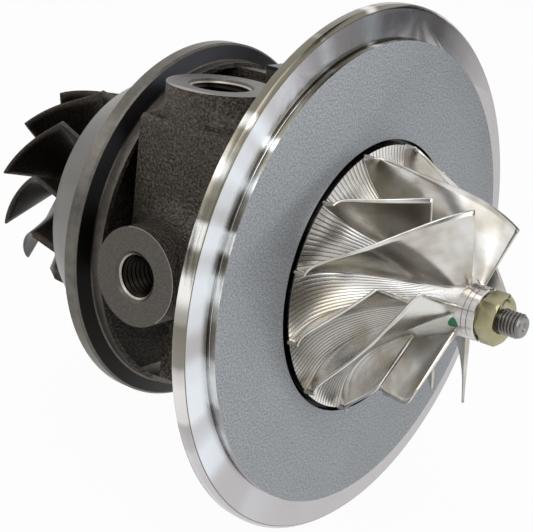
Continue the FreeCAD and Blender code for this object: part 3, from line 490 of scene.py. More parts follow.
@dataclass(frozen=True)
class BlastedMetal(Finish):
    """Bead-blasted aluminium: matte, with a fine light and dark speckle."""

    speck: float = 0.5 * MM
    speck_depth: float = 0.08 * MM
    speck_span: tuple[float, float] = (0.32, 0.68)
    contrast: float = 0.34
    cloud_period: float = 9 * MM
    cloud_share: float = 0.15

    def sockets(self, graph: Graph, place: Place) -> dict:
        """Inputs of the shader.

        Args:
            graph: The material graph.
            place: Surface coordinates.

        Returns:
            Values or signals by socket name.
        """
        found = super().sockets(graph, place)
        fine = graph.noise(place.vector, self.speck, 3.0, 0.7)
        clouds = graph.noise(place.vector, self.cloud_period, 3.0)
        dark = tuple(c * (1 - self.contrast) for c in self.color)
        light = tuple(c * (1 + self.contrast) for c in self.color)
        specks = fine.ramp(*self.speck_span) * (1 - self.cloud_share)
        share = specks + clouds * self.cloud_share
        found["Base Color"] = graph.mix(share, dark, light)
        found["Roughness"] = self.roughness
        found["Normal"] = graph.bump(fine, self.speck_depth)
        return found


@dataclass(frozen=True)
class MilledWheel(Finish):
    """Five-axis milled aluminium: passes of the cutter that run along the blades."""

    lane_count: float = 13.0
    lane_depth: float = 0.05 * MM
    groove_tone: float = 0.45
    groove_span: tuple[float, float] = (0.45, 0.1)
    cloud_period: float = 9 * MM
    cloud_span: tuple[float, float] = (0.35, 0.7)
    shade: tuple[float, float, float] = (1.0, 0.965, 0.90)

    def sockets(self, graph: Graph, place: Place) -> dict:
        """Inputs of the shader.

        Args:
            graph: The material graph.
            place: Surface coordinates.

        Returns:
            Values or signals by socket name.
        """
        found = super().sockets(graph, place)
        lane = graph.node("ShaderNodeAttribute", {"attribute_name": "lane"}, {}, "Fac")
        wave = (lane * (self.lane_count * math.pi)).sine().size()
        clouds = graph.noise(place.vector, self.cloud_period, 2.0)
        warm = tuple(c * t for c, t in zip(self.color, self.shade))
        share = clouds.ramp(*self.cloud_span)
        metal = graph.mix(share, self.color, warm)
        groove = graph.mix(share, *(tuple(c * self.groove_tone for c in tone)
                                    for tone in (self.color, warm)))
        found["Base Color"] = graph.mix(wave.ramp(*self.groove_span), metal, groove)
        found["Normal"] = graph.bump(wave, self.lane_depth)
        return found


@dataclass(frozen=True)
class CastIron(Finish):
    """Sand-cast iron: dark and coarse, with painted glints."""

    sand: float = 0.66 * MM
    sand_depth: float = 0.7 * MM
    # Size and brightness of the painted glints, which are highlights painted into the colour.
    painted_glint_cell: float = 0.3 * MM
    painted_glint_level: float = 0.16
    machined_color: tuple[float, float, float] = (0.155, 0.142, 0.125)
    dark_tone: float = 0.3
    light_tone: float = 3.6
    blotch_tone: float = 0.78
    glint_share: float = 0.05
    glint_span: tuple[float, float] = (0.45, 0.6)
    sand_span: tuple[float, float] = (0.35, 0.72)
    sand_height: float = 0.75
    lump_height: float = 0.6
    cloud_period: float = 14 * MM
    cloud_share: float = 0.3
    blotch_period: float = 3 * MM
    blotch_span: tuple[float, float] = (0.36, 0.64)
    ring_period: float = 0.3 * MM
    ring_height: float = 0.06
    cast_roughness: tuple[float, float] = (0.2, 0.3)
    cut_roughness: tuple[float, float] = (0.15, 0.28)
    cast_metallic: float = 0.8

    def machined(self, graph: Graph, place: Place) -> Signal | float:
        """Where a tool has cut the casting, 0 to 1."""
        return 0.0

    def cut_color(self, graph: Graph, place: Place) -> Signal:
        """Colour where a tool has cut the casting.

        Args:
            graph: The material graph.
            place: Surface coordinates.

        Returns:
            The colour.
        """
        blotches = graph.noise(place.vector, self.blotch_period, 5.0, 0.65)
        darker = tuple(c * self.blotch_tone for c in self.machined_color)
        return graph.mix(blotches.ramp(*self.blotch_span), darker, self.machined_color)

    def sockets(self, graph: Graph, place: Place) -> dict:
        """Inputs of the shader.

        Args:
            graph: The material graph.
            place: Surface coordinates.

        Returns:
            Values or signals by socket name.
        """
        coarse = graph.noise(place.vector, self.sand, 3.0, 0.65)
        lumps = graph.noise(place.vector, self.sand * 5, 2.0)
        clouds = graph.noise(place.vector, self.cloud_period, 3.0)
        dark = tuple(c * self.dark_tone for c in self.color)
        light = tuple(c * self.light_tone for c in self.color)
        grains = coarse.ramp(*self.sand_span) * (1 - self.cloud_share)
        skin = graph.mix(grains + clouds * self.cloud_share, dark, light)
        # Painted glints: random cells of the sand are painted bright as highlights.
        chosen = graph.cells(place.vector, self.painted_glint_cell) > 1 - self.glint_share
        glint = chosen * coarse.ramp(*self.glint_span)
        bright = tuple(self.painted_glint_level * c / max(self.color) for c in self.color)
        cast = graph.mix(glint, skin, bright)
        cut = self.machined(graph, place)
        steel = self.cut_color(graph, place)
        rings = graph.noise(place.vector, self.ring_period, 1.0) * self.ring_height
        rough = coarse * self.sand_height + lumps * self.lump_height
        height = graph.blend(cut, rough, rings)
        cast_rough, cut_rough = (
            clouds * spread + least for spread, least in (self.cast_roughness, self.cut_roughness))
        return {
            "Base Color": graph.mix(cut, cast, steel),
            "Roughness": graph.blend(cut, cast_rough, cut_rough),
            "Metallic": graph.blend(cut, self.cast_metallic, 1.0),
            "Normal": graph.bump(height, self.sand_depth),
        }


@dataclass(frozen=True)
class PortLook:
    """A cut port: its axis, its face, how far its painted highlight rings reach and the painted
    shade in its bore.
    """

    axis: tuple[float, float]
    bore: float
    mouth: float
    outer: float
    # Painted shade inside the bore.
    bore_painted_shade: tuple[float, float, float]

    def reach(self, first: Signal, second: Signal) -> Signal:
        """Distance from the port's axis."""
        first, second = first - self.axis[0], second - self.axis[1]
        return (first * first + second * second).root()


@dataclass(frozen=True)
class HousingIron(CastIron):
    """The bearing housing's iron, cut at its flanges, boss faces and ports, with painted shade and
    painted highlights on its cut faces.
    """

    top_face: float = 44.2 * MM
    side_face: float = -50.6 * MM
    drain_face: float = -37.9 * MM
    port_depth: float = 16.0 * MM
    boss_tone: float = 0.72
    # Painted highlights: tones of the thin bright edge round each boss face and of each port
    # mouth, and the width of the edge.
    edge_highlight_tone: float = 2.0
    mouth_highlight_tone: float = 2.6
    edge_highlight_width: float = 0.18 * MM
    top_port: PortLook = PortLook(
        (-35.0 * MM, -23.5 * MM), 7.3 * MM, 7.65 * MM, 13.5 * MM, (0.035, 0.028, 0.02))
    side_port: PortLook = PortLook(
        (-34.0 * MM, 0.0), 5.3 * MM, 5.7 * MM, 12.35 * MM, (0.006, 0.006, 0.006))
    lip_inner: float = 44.0 * MM
    lip_outer: float = 45.5 * MM
    rim_inner: float = 48.9 * MM
    lip_front: float = -50.65 * MM
    # Painted shade in the flange valley, and the bluish painted sky reflection that it turns into
    # towards the top.
    valley_painted_shade: tuple[float, float, float] = (0.018, 0.017, 0.016)
    valley_painted_sky_reflection: tuple[float, float, float] = (0.06, 0.063, 0.07)
    drain_half: float = 21.6 * MM
    block_front: float = -20.0 * MM
    front_face: float = -9.5 * MM
    spigot_front: float = -58.8 * MM
    bearing_bore: float = 21.2 * MM
    top_chamfer: float = 8.3 * MM
    side_chamfer: float = 6.5 * MM
    top_port_floor: float = 28 * MM
    side_port_floor: float = -34 * MM
    skin: float = 0.04 * MM
    # Where the painted sky reflection rises across the valley.
    sky_reflection_rise: tuple[float, float] = (30 * MM, 52 * MM)
    sky_reflection_lean: float = 0.3
    grit_tone: float = 0.72
    grit_period: float = 0.5 * MM
    grit_span: tuple[float, float] = (0.3, 0.7)
    # Painted highlight: the side port's edge is painted bright only on the side where light falls.
    lit_from: float = 3 * MM
    lit_lean: float = 0.5

    def cut_color(self, graph: Graph, place: Place) -> Signal:
        """Painted shade on the flange front, bluer towards the top as a painted sky reflection,
        grey boss faces with painted highlights on their thin edges and port mouths, and painted
        shade in the ports.

        Args:
            graph: The material graph.
            place: Surface coordinates.

        Returns:
            The colour.
        """
        base = super().cut_color(graph, place)
        # Painted shade in the valley between lip and rim, with a painted sky reflection towards
        # the top.
        shaded_valley = (place.radius > self.lip_outer) * (place.radius < self.rim_inner)
        sky_reflection_share = (place.up - place.side * self.sky_reflection_lean).ramp(*self.sky_reflection_rise)
        base = graph.mix(shaded_valley, base, graph.mix(sky_reflection_share, self.valley_painted_shade, self.valley_painted_sky_reflection))
        grit = graph.noise(place.vector, self.grit_period, 2.0).ramp(*self.grit_span)
        # Random dull and plain face tones, then the painted highlight tones of the edges and
        # mouths.
        dull, face, edge, mouth = (
            tuple(c * tone for c in self.machined_color)
            for tone in (self.boss_tone * self.grit_tone, self.boss_tone, self.edge_highlight_tone,
                         self.mouth_highlight_tone))
        ahead = place.along > self.lip_front
        high = (place.up > self.top_face - self.port_depth) * ahead * (place.side < 0.0)
        near = (place.side < self.side_face + self.port_depth) * ahead
        # Painted highlight: the side of the side port's edge that is lit.
        slant = place.along - self.side_port.axis[0] + place.up * self.lit_lean
        lit = slant > self.lit_from
        toned = graph.mix((high + near) > 0.5, base, graph.mix(grit, dull, face))
        # Painted highlights on the outer edge and the mouth of each port, then painted shade in
        # its bore.
        for port, across, shown, bright in (
            (self.top_port, place.side, high, 1.0),
            (self.side_port, place.up, near, lit),
        ):
            reach = port.reach(place.along, across)
            toned = graph.mix((reach > port.outer - self.edge_highlight_width) * shown * bright, toned, edge)
            toned = graph.mix((reach < port.mouth) * shown, toned, mouth)
            toned = graph.mix((reach < port.bore) * shown, toned, port.bore_painted_shade)
        return toned

    def machined(self, graph: Graph, place: Place) -> Signal:
        """Where a tool has cut the casting, 0 to 1.

        Args:
            graph: The material graph.
            place: Surface coordinates.

        Returns:
            One where it is cut, else zero.
        """
        flange = (place.radius > self.lip_inner) * (place.along < self.lip_front)
        spigot = place.along < self.spigot_front
        top = place.up > self.top_face - self.skin
        side = place.side < self.side_face + self.skin
        top_reach = self.top_port.reach(place.along, place.side)
        side_reach = self.side_port.reach(place.along, place.up)
        top_mouth = (top_reach < self.top_chamfer) * (place.up > self.top_port_floor)
        side_mouth = (side_reach < self.side_chamfer) * (place.side < self.side_port_floor)
        beside = (place.side.size() < self.drain_half) * (place.along < self.block_front)
        foot = (place.up < self.drain_face + self.skin) * beside
        front = place.along > self.front_face
        bore = place.radius < self.bearing_bore
        total = flange + spigot + top + side + top_mouth + side_mouth + foot + front + bore
        return total > 0.5


FINISHES = {
    "backplate": PolishedPlate(
        "turned_aluminium_plate", "backplate_alloy", (0.56, 0.545, 0.56), 0.2,
        anisotropy=0.7, clouding=0.02, space=Space.SHAFT),
    "blasted": BlastedMetal(
        "blasted_aluminium", "backplate_alloy", (0.375, 0.395, 0.415), 0.6, space=Space.SHAFT),
    "hub": MilledWheel(
        "milled_aluminium_floor", "wheel_alloy", (0.8, 0.8, 0.8), 0.24, lane_depth=0.045 * MM,
        groove_tone=0.3, space=Space.SHAFT),
    "blade": MilledWheel(
        "milled_aluminium_blades", "wheel_alloy", (0.72, 0.705, 0.68), 0.22,
        lane_count=7.0, lane_depth=0.002 * MM, groove_tone=0.97, grain_depth=0.002 * MM,
        shade=(0.66, 0.63, 0.57), space=Space.SHAFT),
    "turned_nose": TurnedMetal(
        "turned_aluminium", "wheel_alloy", (0.66, 0.64, 0.62), 0.16,
        anisotropy=0.6, space=Space.SHAFT),
    "nut": TurnedMetal("yellow_zinc", "nut_zinc", (0.35, 0.33, 0.2), 0.2, space=Space.SHAFT),
    "shaft": TurnedMetal(
        "ground_steel", "shaft_steel", (0.27, 0.26, 0.25), 0.28, space=Space.SHAFT),
    "turbine": CastIron(
        "dark_nickel_alloy", "turbine_alloy", (0.026, 0.021, 0.017), sand=0.4 * MM,
        sand_depth=0.03 * MM, painted_glint_level=0.08, space=Space.SHAFT),
    "shield": Finish(
        "pressed_shield_steel", "shield_steel", (0.092, 0.084, 0.072), 0.3, clouding=0.4,
        grain=1.2 * MM),
    "housing": HousingIron("cast_and_machined_iron", "cast_housing", (0.04, 0.034, 0.028)),
    "bronze": TurnedMetal("bearing_bronze", "bearing_bronze", (0.60, 0.42, 0.21), 0.28),
    "spring": Finish("spring_steel", "spring_steel", (0.20, 0.20, 0.21), 0.3),
    "collar": TurnedMetal("ground_collar_steel", "collar_steel", (0.45, 0.45, 0.45), 0.22),
    "deflector": Finish("stamped_steel", "deflector_steel", (0.50, 0.50, 0.49), 0.32),
    "screw": Finish("black_oxide_steel", "screw_steel", (0.05, 0.05, 0.055), 0.42),
    "seal": Finish("seal_rubber", "seal_rubber", (0.03, 0.03, 0.03), 0.6, metallic=0.0),
    # The port threads are painted nearly black as painted shade inside the ports.
    "thread": Finish("cut_thread_iron_in_painted_shade", "cast_housing", (0.014, 0.012, 0.010), 0.3),
    "stub_thread": Finish("cut_thread_steel", "shaft_steel", (0.20, 0.19, 0.18), 0.26),
    "paint": Finish(
        "green_marking_paint", "wheel_alloy", (0.01, 0.17, 0.06), 0.35, metallic=0.0),
}


class Palette:
    """Materials, each made once."""

    def __init__(self) -> None:
        """Start with no material made."""
        self.made: dict[str, bpy.types.Material] = {}

    def get(self, name: str) -> bpy.types.Material:
        """Material of a finish, made when it is first asked for.

        Args:
            name: Key of the finish.

        Returns:
            The material.
        """
        if name not in self.made:
            self.made[name] = FINISHES[name].material()
        return self.made[name]


PALETTE = Palette()


# Mesh helpers


def shaft_point(along: float, radius: float, angle: float) -> Vector:
    """Point in the shaft frame, at an angle from row +Y towards row +Z."""
    return Vector((radius * math.cos(angle), radius * math.sin(angle), along))


def place_piece(
    name: str, mesh: bpy.types.Mesh, finish: str, body: Body, matrix: Matrix
) -> bpy.types.Object:
    """Put a mesh in the scene as a smooth piece with a finish.

    Args:
        name: The piece's name.
        mesh: Its mesh.
        finish: Key of its finish.
        body: What it rides on.
        matrix: From its own frame to the row frame.

    Returns:
        The piece.
    """
    mesh.shade_smooth()
    mesh.materials.clear()
    mesh.materials.append(PALETTE.get(finish))
    piece = bpy.data.objects.new(name, mesh)
    bpy.context.scene.collection.objects.link(piece)
    piece.matrix_world = matrix
    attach(piece, body.value)
    return piece


def new_piece(
    name: str,
    vertices: list,
    faces: list,
    finish: str,
    body: Body,
    matrix: Matrix = SHAFT_TO_ROW,
) -> bpy.types.Object:
    """Make a smooth mesh piece that rides on a body.

    Args:
        name: The piece's name.
        vertices: Points in the piece's own frame.
        faces: Corner lists.
        finish: Key of its finish.
        body: What it rides on.
        matrix: From its own frame to the row frame.

    Returns:
        The piece.
    """
    mesh = bpy.data.meshes.new(name)
    mesh.from_pydata([tuple(v) for v in vertices], [], faces)
    mesh.validate()
    work = bmesh.new()
    work.from_mesh(mesh)
    bmesh.ops.recalc_face_normals(work, faces=work.faces)
    work.to_mesh(mesh)
    work.free()
    LOG.info("%s: %d faces on %s", name, len(faces), body.value)
    return place_piece(name, mesh, finish, body, matrix)


def sharpen(piece: bpy.types.Object) -> None:
    """Mark edges over SHARP_ANGLE as sharp.

    Args:
        piece: The piece.
    """
    work = bmesh.new()
    work.from_mesh(piece.data)
    for edge in work.edges:
        two = len(edge.link_faces) == 2
        edge.smooth = not (two and edge.calc_face_angle(0.0) > SHARP_ANGLE)
    work.to_mesh(piece.data)
    work.free()


def soften(piece: bpy.types.Object, width: float) -> None:
    """Round the edges of a piece with a small bevel.

    Args:
        piece: The piece.
        width: Bevel width in metres.
    """
    bevel = piece.modifiers.new("edge", "BEVEL")
    bevel.width = width
    bevel.segments = 2
    bevel.limit_method = "ANGLE"
    bevel.angle_limit = BEVEL_ANGLE
    bevel.harden_normals = True


def flat_card(
    name: str, width: float, height: float, material: bpy.types.Material, matrix: Matrix
) -> bpy.types.Object:
    """Stage rectangle that is centred on its matrix.

    Args:
        name: The card's name.
        width: Its size along local X, in metres.
        height: Its size along local Y, in metres.
        material: Its material.
        matrix: From its own frame to the row frame.

    Returns:
        The card.
    """
    x, y = width / 2, height / 2
    mesh = bpy.data.meshes.new(name)
    mesh.from_pydata([(-x, -y, 0), (x, -y, 0), (x, y, 0), (-x, y, 0)], [], [(0, 1, 2, 3)])
    mesh.materials.append(material)
    card = bpy.data.objects.new(name, mesh)
    bpy.context.scene.collection.objects.link(card)
    card.matrix_world = matrix
    return card


def ring_faces(rings: int, steps: int) -> list:
    """Faces between closed rings of points.

    Args:
        rings: How many rings follow each other.
        steps: Points in each ring.

    Returns:
        Corner lists.
    """
    faces = []
    for ring in range(rings - 1):
        low, high = ring * steps, (ring + 1) * steps
        for step in range(steps):
            after = (step + 1) % steps
            faces.append((low + step, low + after, high + after, high + step))
    return faces


def lathe(outline: list[tuple[float, float]], steps: int) -> tuple[list, list]:
    """Surface of revolution about local Z.

    Args:
        outline: (along, radius) points.
        steps: Faces round the axis.

    Returns:
        Vertices and faces.
    """
    vertices = []
    for along, radius in outline:
        for index in range(steps):
            vertices.append(shaft_point(along, radius, 2 * math.pi * index / steps))
    return vertices, ring_faces(len(outline), steps)


@dataclass
class Thread:
    """A helical thread ridge round local Z, run out to nothing at both ends."""

    root: float
    crest: float
    pitch: float
    start: float
    end: float
    steps_per_turn: int = 48
    runout_turns: float = 0.4
    least_height: float = 0.02

    def build(self, name: str, finish: str, body: Body, matrix: Matrix) -> bpy.types.Object:
        """Make the ridge.

        Args:
            name: The piece's name.
            finish: Key of its finish.
            body: What it rides on.
            matrix: From its own frame to the row frame.

        Returns:
            The piece.
        """
        turns = (self.end - self.start) / self.pitch
        steps = int(turns * self.steps_per_turn)
        profile = ((-0.47, 0.0), (-0.08, 1.0), (0.08, 1.0), (0.47, 0.0))
        vertices = []
        for index in range(steps + 1):
            turn = turns * index / steps
            height = min(1.0, turn / self.runout_turns, (turns - turn) / self.runout_turns)
            height = max(height, self.least_height)
            for along, share in profile:
                radius = self.root + (self.crest - self.root) * height * share
                place = self.start + self.pitch * (turn + along * height)
                vertices.append(shaft_point(place, radius, 2 * math.pi * turn))
        faces = [(0, 1, 2, 3)]
        for index in range(steps):
            low = index * 4
            for k in range(4):
                after = (k + 1) % 4
                faces.append((low + k, low + after, low + 4 + after, low + 4 + k))
        faces.append(tuple(steps * 4 + k for k in (3, 2, 1, 0)))
        piece = new_piece(name, vertices, faces, finish, body, matrix)
        sharpen(piece)
        return piece


def dress(node: str, finish: str) -> bpy.types.Object:
    """Give a CAD node its finish.

    Args:
        node: The node's name.
        finish: Key of its finish.

    Returns:
        The node's object.
    """
    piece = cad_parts[node]
    piece.data.materials.clear()
    piece.data.materials.append(PALETTE.get(finish))
    LOG.info("%s: dressed in %s", node, FINISHES[finish].name)
    return piece


def turned_copy(node: str, name: str, finish: str, body: Body, edge: float) -> bpy.types.Object:
    """Piece with a CAD node's shape, welded, softened and turned into the shaft frame.

    Args:
        node: The node that the piece stands for.
        name: The piece's name.
        finish: Key of its finish.
        body: What it rides on.
        edge: Width of its softened edges.

    Returns:
        The piece.
    """
    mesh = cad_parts[node].data.copy()
    mesh.name = name
    mesh.transform(SHAFT_TO_ROW.inverted())
    work = bmesh.new()
    work.from_mesh(mesh)
    bmesh.ops.remove_doubles(work, verts=work.verts, dist=WELD_DISTANCE)
    bmesh.ops.dissolve_limit(
        work, angle_limit=FLAT_ANGLE, verts=work.verts, edges=work.edges)
    work.to_mesh(mesh)
    work.free()
    piece = place_piece(name, mesh, finish, body, SHAFT_TO_ROW)
    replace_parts(piece, node)
    soften(piece, edge)
    LOG.info("%s: stands for %s", name, node)
    return piece


# Blades


@dataclass
class BladeSheet:
    """One blade as a grid of points from its leading to its trailing edge, root to tip."""

    middle: np.ndarray
    root_thickness: float
    tip_thickness: float
    crown: float = 0.75

    def solid(self) -> tuple[list, list, list]:
        """Thicken the sheet and round its free edges.

        Returns:
            Vertices, faces and the lane value of each vertex.
        """
        grid = self.middle
        rows, columns = grid.shape[:2]
        down = np.gradient(grid, axis=0)
        across = np.gradient(grid, axis=1)
        normal = np.cross(down, across)
        normal /= np.linalg.norm(normal, axis=2, keepdims=True)
        down /= np.linalg.norm(down, axis=2, keepdims=True)
        across /= np.linalg.norm(across, axis=2, keepdims=True)
        half = np.linspace(self.root_thickness, self.tip_thickness, columns)[None, :, None] / 2
        front = grid + normal * half
        back = grid - normal * half
        vertices = [Vector(p) for p in front.reshape(-1, 3)]
        vertices += [Vector(p) for p in back.reshape(-1, 3)]
        lanes = [j / (columns - 1) for _ in range(2 * rows) for j in range(columns)]
        offset = rows * columns
        faces = []
        for i in range(rows - 1):
            for j in range(columns - 1):
                a, b = i * columns + j, i * columns + j + 1
                c, d = (i + 1) * columns + j + 1, (i + 1) * columns + j
                faces.append((a, b, c, d))
                faces.append((offset + a, offset + d, offset + c, offset + b))
        edge = [(i, 0) for i in range(rows)]
        edge += [(rows - 1, j) for j in range(1, columns)]
        edge += [(i, columns - 1) for i in range(rows - 2, -1, -1)]
        edge += [(0, j) for j in range(columns - 2, 0, -1)]
        crowns = []
        for i, j in edge:
            out = np.zeros(3)
            out -= down[i, j] if i == 0 else 0
            out += down[i, j] if i == rows - 1 else 0
            out += across[i, j] if j == columns - 1 else 0
            out -= across[i, j] if j == 0 else 0
            out /= np.linalg.norm(out)
            crowns.append(len(vertices))
            vertices.append(Vector(grid[i, j] + out * half[0, j, 0] * self.crown))
            lanes.append(j / (columns - 1))
        for k, (i, j) in enumerate(edge):
            n = (k + 1) % len(edge)
            p, q = edge[n]
            here, there = i * columns + j, p * columns + q
            faces.append((here, there, crowns[n], crowns[k]))
            faces.append((offset + there, offset + here, crowns[k], crowns[n]))
        return vertices, faces, lanes


def join_blades(blades: list[tuple[list, list, list]]) -> tuple[list, list, list]:
    """Put the meshes of several blades together.

    Args:
        blades: Vertices, faces and lanes of each blade.

    Returns:
        Vertices, faces and lanes of all of them.
    """
    vertices, faces, lanes = [], [], []
    for some, corners, values in blades:
        base = len(vertices)
        vertices += some
        lanes += values
        faces += [tuple(base + c for c in f) for f in corners]
    return vertices, faces, lanes


def set_lanes(piece: bpy.types.Object, lanes: list[float]) -> None:
    """Store where each vertex lies across the cutter's passes."""
    attribute = piece.data.attributes.new("lane", "FLOAT", "POINT")
    attribute.data.foreach_set("value", lanes)


def quarter_curve(
    share: float,
    inner: tuple[float, float],
    outer: tuple[float, float],
    fullness: tuple[float, float],
) -> tuple[float, float]:
    """Point of a flattened quarter ellipse.

    Args:
        share: How far from the inlet to the rim, 0 to 1.
        inner: (along, radius) at the inlet.
        outer: (along, radius) at the rim.
        fullness: Exponents along the shaft and across it.

    Returns:
        The point as (along, radius).
    """
    turn = share * math.pi / 2
    along = outer[0] + (inner[0] - outer[0]) * (1 - math.sin(turn) ** fullness[0])
    radius = outer[1] - (outer[1] - inner[1]) * math.cos(turn) ** fullness[1]
    return along, radius


@dataclass
class CompressorWheel:
    """Milled wheel: bell-shaped hub, six full blades and six splitters."""

    blade_pairs: int = 6
    radius: float = 34.3 * MM
    back: float = -1.2 * MM
    rim_front: float = 0.8 * MM
    inlet: float = 29.0 * MM
    inducer_radius: float = 26.0 * MM
    nose_radius: float = 6.7 * MM
    nose_end: float = 34.2 * MM
    ring_depth: float = 0.25 * MM
    bore: float = 3.3 * MM
    exducer_height: float = 2.6 * MM
    splitter_inlet: float = 18.6 * MM
    dab_height: float = 0.22 * MM
    dab_slope: float = 6.5 * MM
    wrap: float = math.radians(66.9)
    phase: float = math.radians(40.0)
    root_thickness: float = 1.5 * MM
    tip_thickness: float = 0.62 * MM
    hub_fullness: tuple[float, float] = (1.7, 0.8)
    shroud_fullness: tuple[float, float] = (0.97, 1.73)
    wrap_course: tuple[float, float, float] = (2.58, -2.55, 0.97)
    root_sink: float = 0.6 * MM
    easing: float = 0.35
    stream_steps: int = 44
    span_steps: int = 14
    floor_rows: int = 40
    floor_columns: int = 8
    turned_steps: int = 160
    ring_places: tuple[float, float] = (1.9 * MM, 3.3 * MM)

    def hub_at(self, share: float) -> tuple[float, float]:
        """Point of the hub line."""
        inner = (self.inlet, self.nose_radius)
        return quarter_curve(share, inner, (self.rim_front, self.radius), self.hub_fullness)

    def shroud_at(self, share: float) -> tuple[float, float]:
        """Point of the line that the blade tips follow.

        Args:
            share: How far from the inlet to the rim, 0 to 1.

        Returns:
            The point as (along, radius).
        """
        inner = (self.inlet, self.inducer_radius)
        outer = (self.rim_front + self.exducer_height, self.radius)
        return quarter_curve(share, inner, outer, self.shroud_fullness)

    def angle_at(self, share: float) -> float:
        """How far a blade has wrapped round the hub."""
        first, second, third = self.wrap_course
        return self.wrap * (first * share + second * share**2 + third * share**3)

    def share_of(self, along: float, line: str) -> float:
        """Share of the hub or shroud line at a place along the shaft.

        Args:
            along: The place.
            line: "hub" or "shroud".

        Returns:
            How far from the inlet to the rim, 0 to 1.
        """
        inner = self.inlet
        outer = self.rim_front + (self.exducer_height if line == "shroud" else 0)
        power = self.shroud_fullness[0] if line == "shroud" else self.hub_fullness[0]
        rise = 1 - (along - outer) / (inner - outer)
        return math.asin(rise ** (1 / power)) * 2 / math.pi

    def blade(self, angle: float, hub_start: float, shroud_start: float) -> BladeSheet:
        """One blade.

        Args:
            angle: Angle of the blade at the inlet.
            hub_start: Share at which it starts on the hub.
            shroud_start: Share at which it starts on the shroud line.

        Returns:
            The blade's sheet.
        """
        grid = np.zeros((self.stream_steps, self.span_steps, 3))
        for i in range(self.stream_steps):
            step = i / (self.stream_steps - 1)
            step = step * step * (3 - 2 * step) * self.easing + step * (1 - self.easing)
            hub_share = hub_start + (1 - hub_start) * step
            tip_share = shroud_start + (1 - shroud_start) * step
            root = shaft_point(*self.hub_at(hub_share), angle + self.angle_at(hub_share))
            tip = shaft_point(*self.shroud_at(tip_share), angle + self.angle_at(tip_share))
            root = root + (root - tip).normalized() * self.root_sink
            for j in range(self.span_steps):
                grid[i, j] = root.lerp(tip, j / (self.span_steps - 1))
        return BladeSheet(grid, self.root_thickness, self.tip_thickness)

    def build_blades(self) -> bpy.types.Object:
        """All blades as one piece.

        Returns:
            The piece.
        """
        blades = []
        pitch = 2 * math.pi / self.blade_pairs
        hub_start = self.share_of(self.splitter_inlet, "hub")
        shroud_start = self.share_of(self.splitter_inlet, "shroud")
        for index in range(self.blade_pairs):
            angle = self.phase + pitch * index
            blades.append(self.blade(angle, 0.0, 0.0).solid())
            blades.append(self.blade(angle + pitch / 2, hub_start, shroud_start).solid())
        vertices, faces, lanes = join_blades(blades)
        piece = new_piece("milled_blades", vertices, faces, "blade", Body.ROTOR)
        set_lanes(piece, lanes)
        return piece

    def build_floor(self) -> bpy.types.Object:
        """The hub surface between the blades, gridded along the blades.

        Returns:
            The piece.
        """
        rows, per_passage = self.floor_rows, self.floor_columns
        columns = per_passage * self.blade_pairs * 2
        vertices, lanes = [], []
        for i in range(rows):
            share = i / (rows - 1)
            along, radius = self.hub_at(share)
            for j in range(columns + 1):
                passage = j / per_passage
                angle = self.phase + math.pi / self.blade_pairs * passage + self.angle_at(share)
                vertices.append(shaft_point(along, radius, angle))
                lanes.append(passage)
        faces = []
        for i in range(rows - 1):
            for j in range(columns):
                a = i * (columns + 1) + j
                faces.append((a, a + 1, a + columns + 2, a + columns + 1))
        piece = new_piece("milled_hub_floor", vertices, faces, "hub", Body.ROTOR)
        set_lanes(piece, lanes)
        return piece

    def build_nose(self) -> bpy.types.Object:
        """Turned nose, rim, back and bore.

        Returns:
            The piece.
        """
        soft = 0.12 * MM
        outline = [(self.inlet, self.nose_radius)]
        for ring in self.ring_places:
            start = self.inlet + ring
            outline += [
                (start - soft, self.nose_radius),
                (start, self.nose_radius - self.ring_depth),
                (start + soft, self.nose_radius - self.ring_depth),
                (start + 2 * soft, self.nose_radius),
            ]
        outline += [
            (self.nose_end - soft * 2, self.nose_radius),
            (self.nose_end, self.nose_radius - soft * 2),
            (self.nose_end, self.bore),
            (self.back, self.bore),
            (self.back, self.radius - soft),
            (self.back + soft, self.radius),
            (self.rim_front, self.radius),
        ]
        vertices, faces = lathe(outline, self.turned_steps)
        piece = new_piece("turned_nose_and_back", vertices, faces, "turned_nose", Body.ROTOR)
        sharpen(piece)
        return piece

    def build_dab(self) -> bpy.types.Object:
        """Green paint dab on the hub, just behind the nose.

        Returns:
            The piece.
        """
        rings, steps = 4, 20
        centre, half_length, half_angle = 28.9 * MM, 1.25 * MM, math.radians(11.0)
        turn = math.radians(-162.0)
        vertices = []
        for ring in range(rings + 1):
            for step in range(steps):
                around = 2 * math.pi * step / steps
                reach = ring / rings * (1.0 + 0.12 * math.sin(3 * around))
                along = centre + half_length * reach * math.cos(around)
                share = max(self.inlet - along, 0.0) / (self.inlet - self.rim_front)
                low = self.nose_radius + self.dab_slope * share
                height = self.dab_height * (1.0 - (ring / rings) ** 2) + 0.01 * MM
                angle = turn + half_angle * reach * math.sin(around)
                vertices.append(shaft_point(along, low + height, angle))
        faces = ring_faces(rings + 1, steps)
        return new_piece("paint_dab", vertices, faces, "paint", Body.ROTOR)

    def build(self) -> None:
        """Build the wheel and let it stand for its CAD node."""
        blades = self.build_blades()
        floor = self.build_floor()
        self.build_nose()
        self.build_dab()
        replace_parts(blades, "compressor_wheel_blades")
        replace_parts(floor, "compressor_wheel")


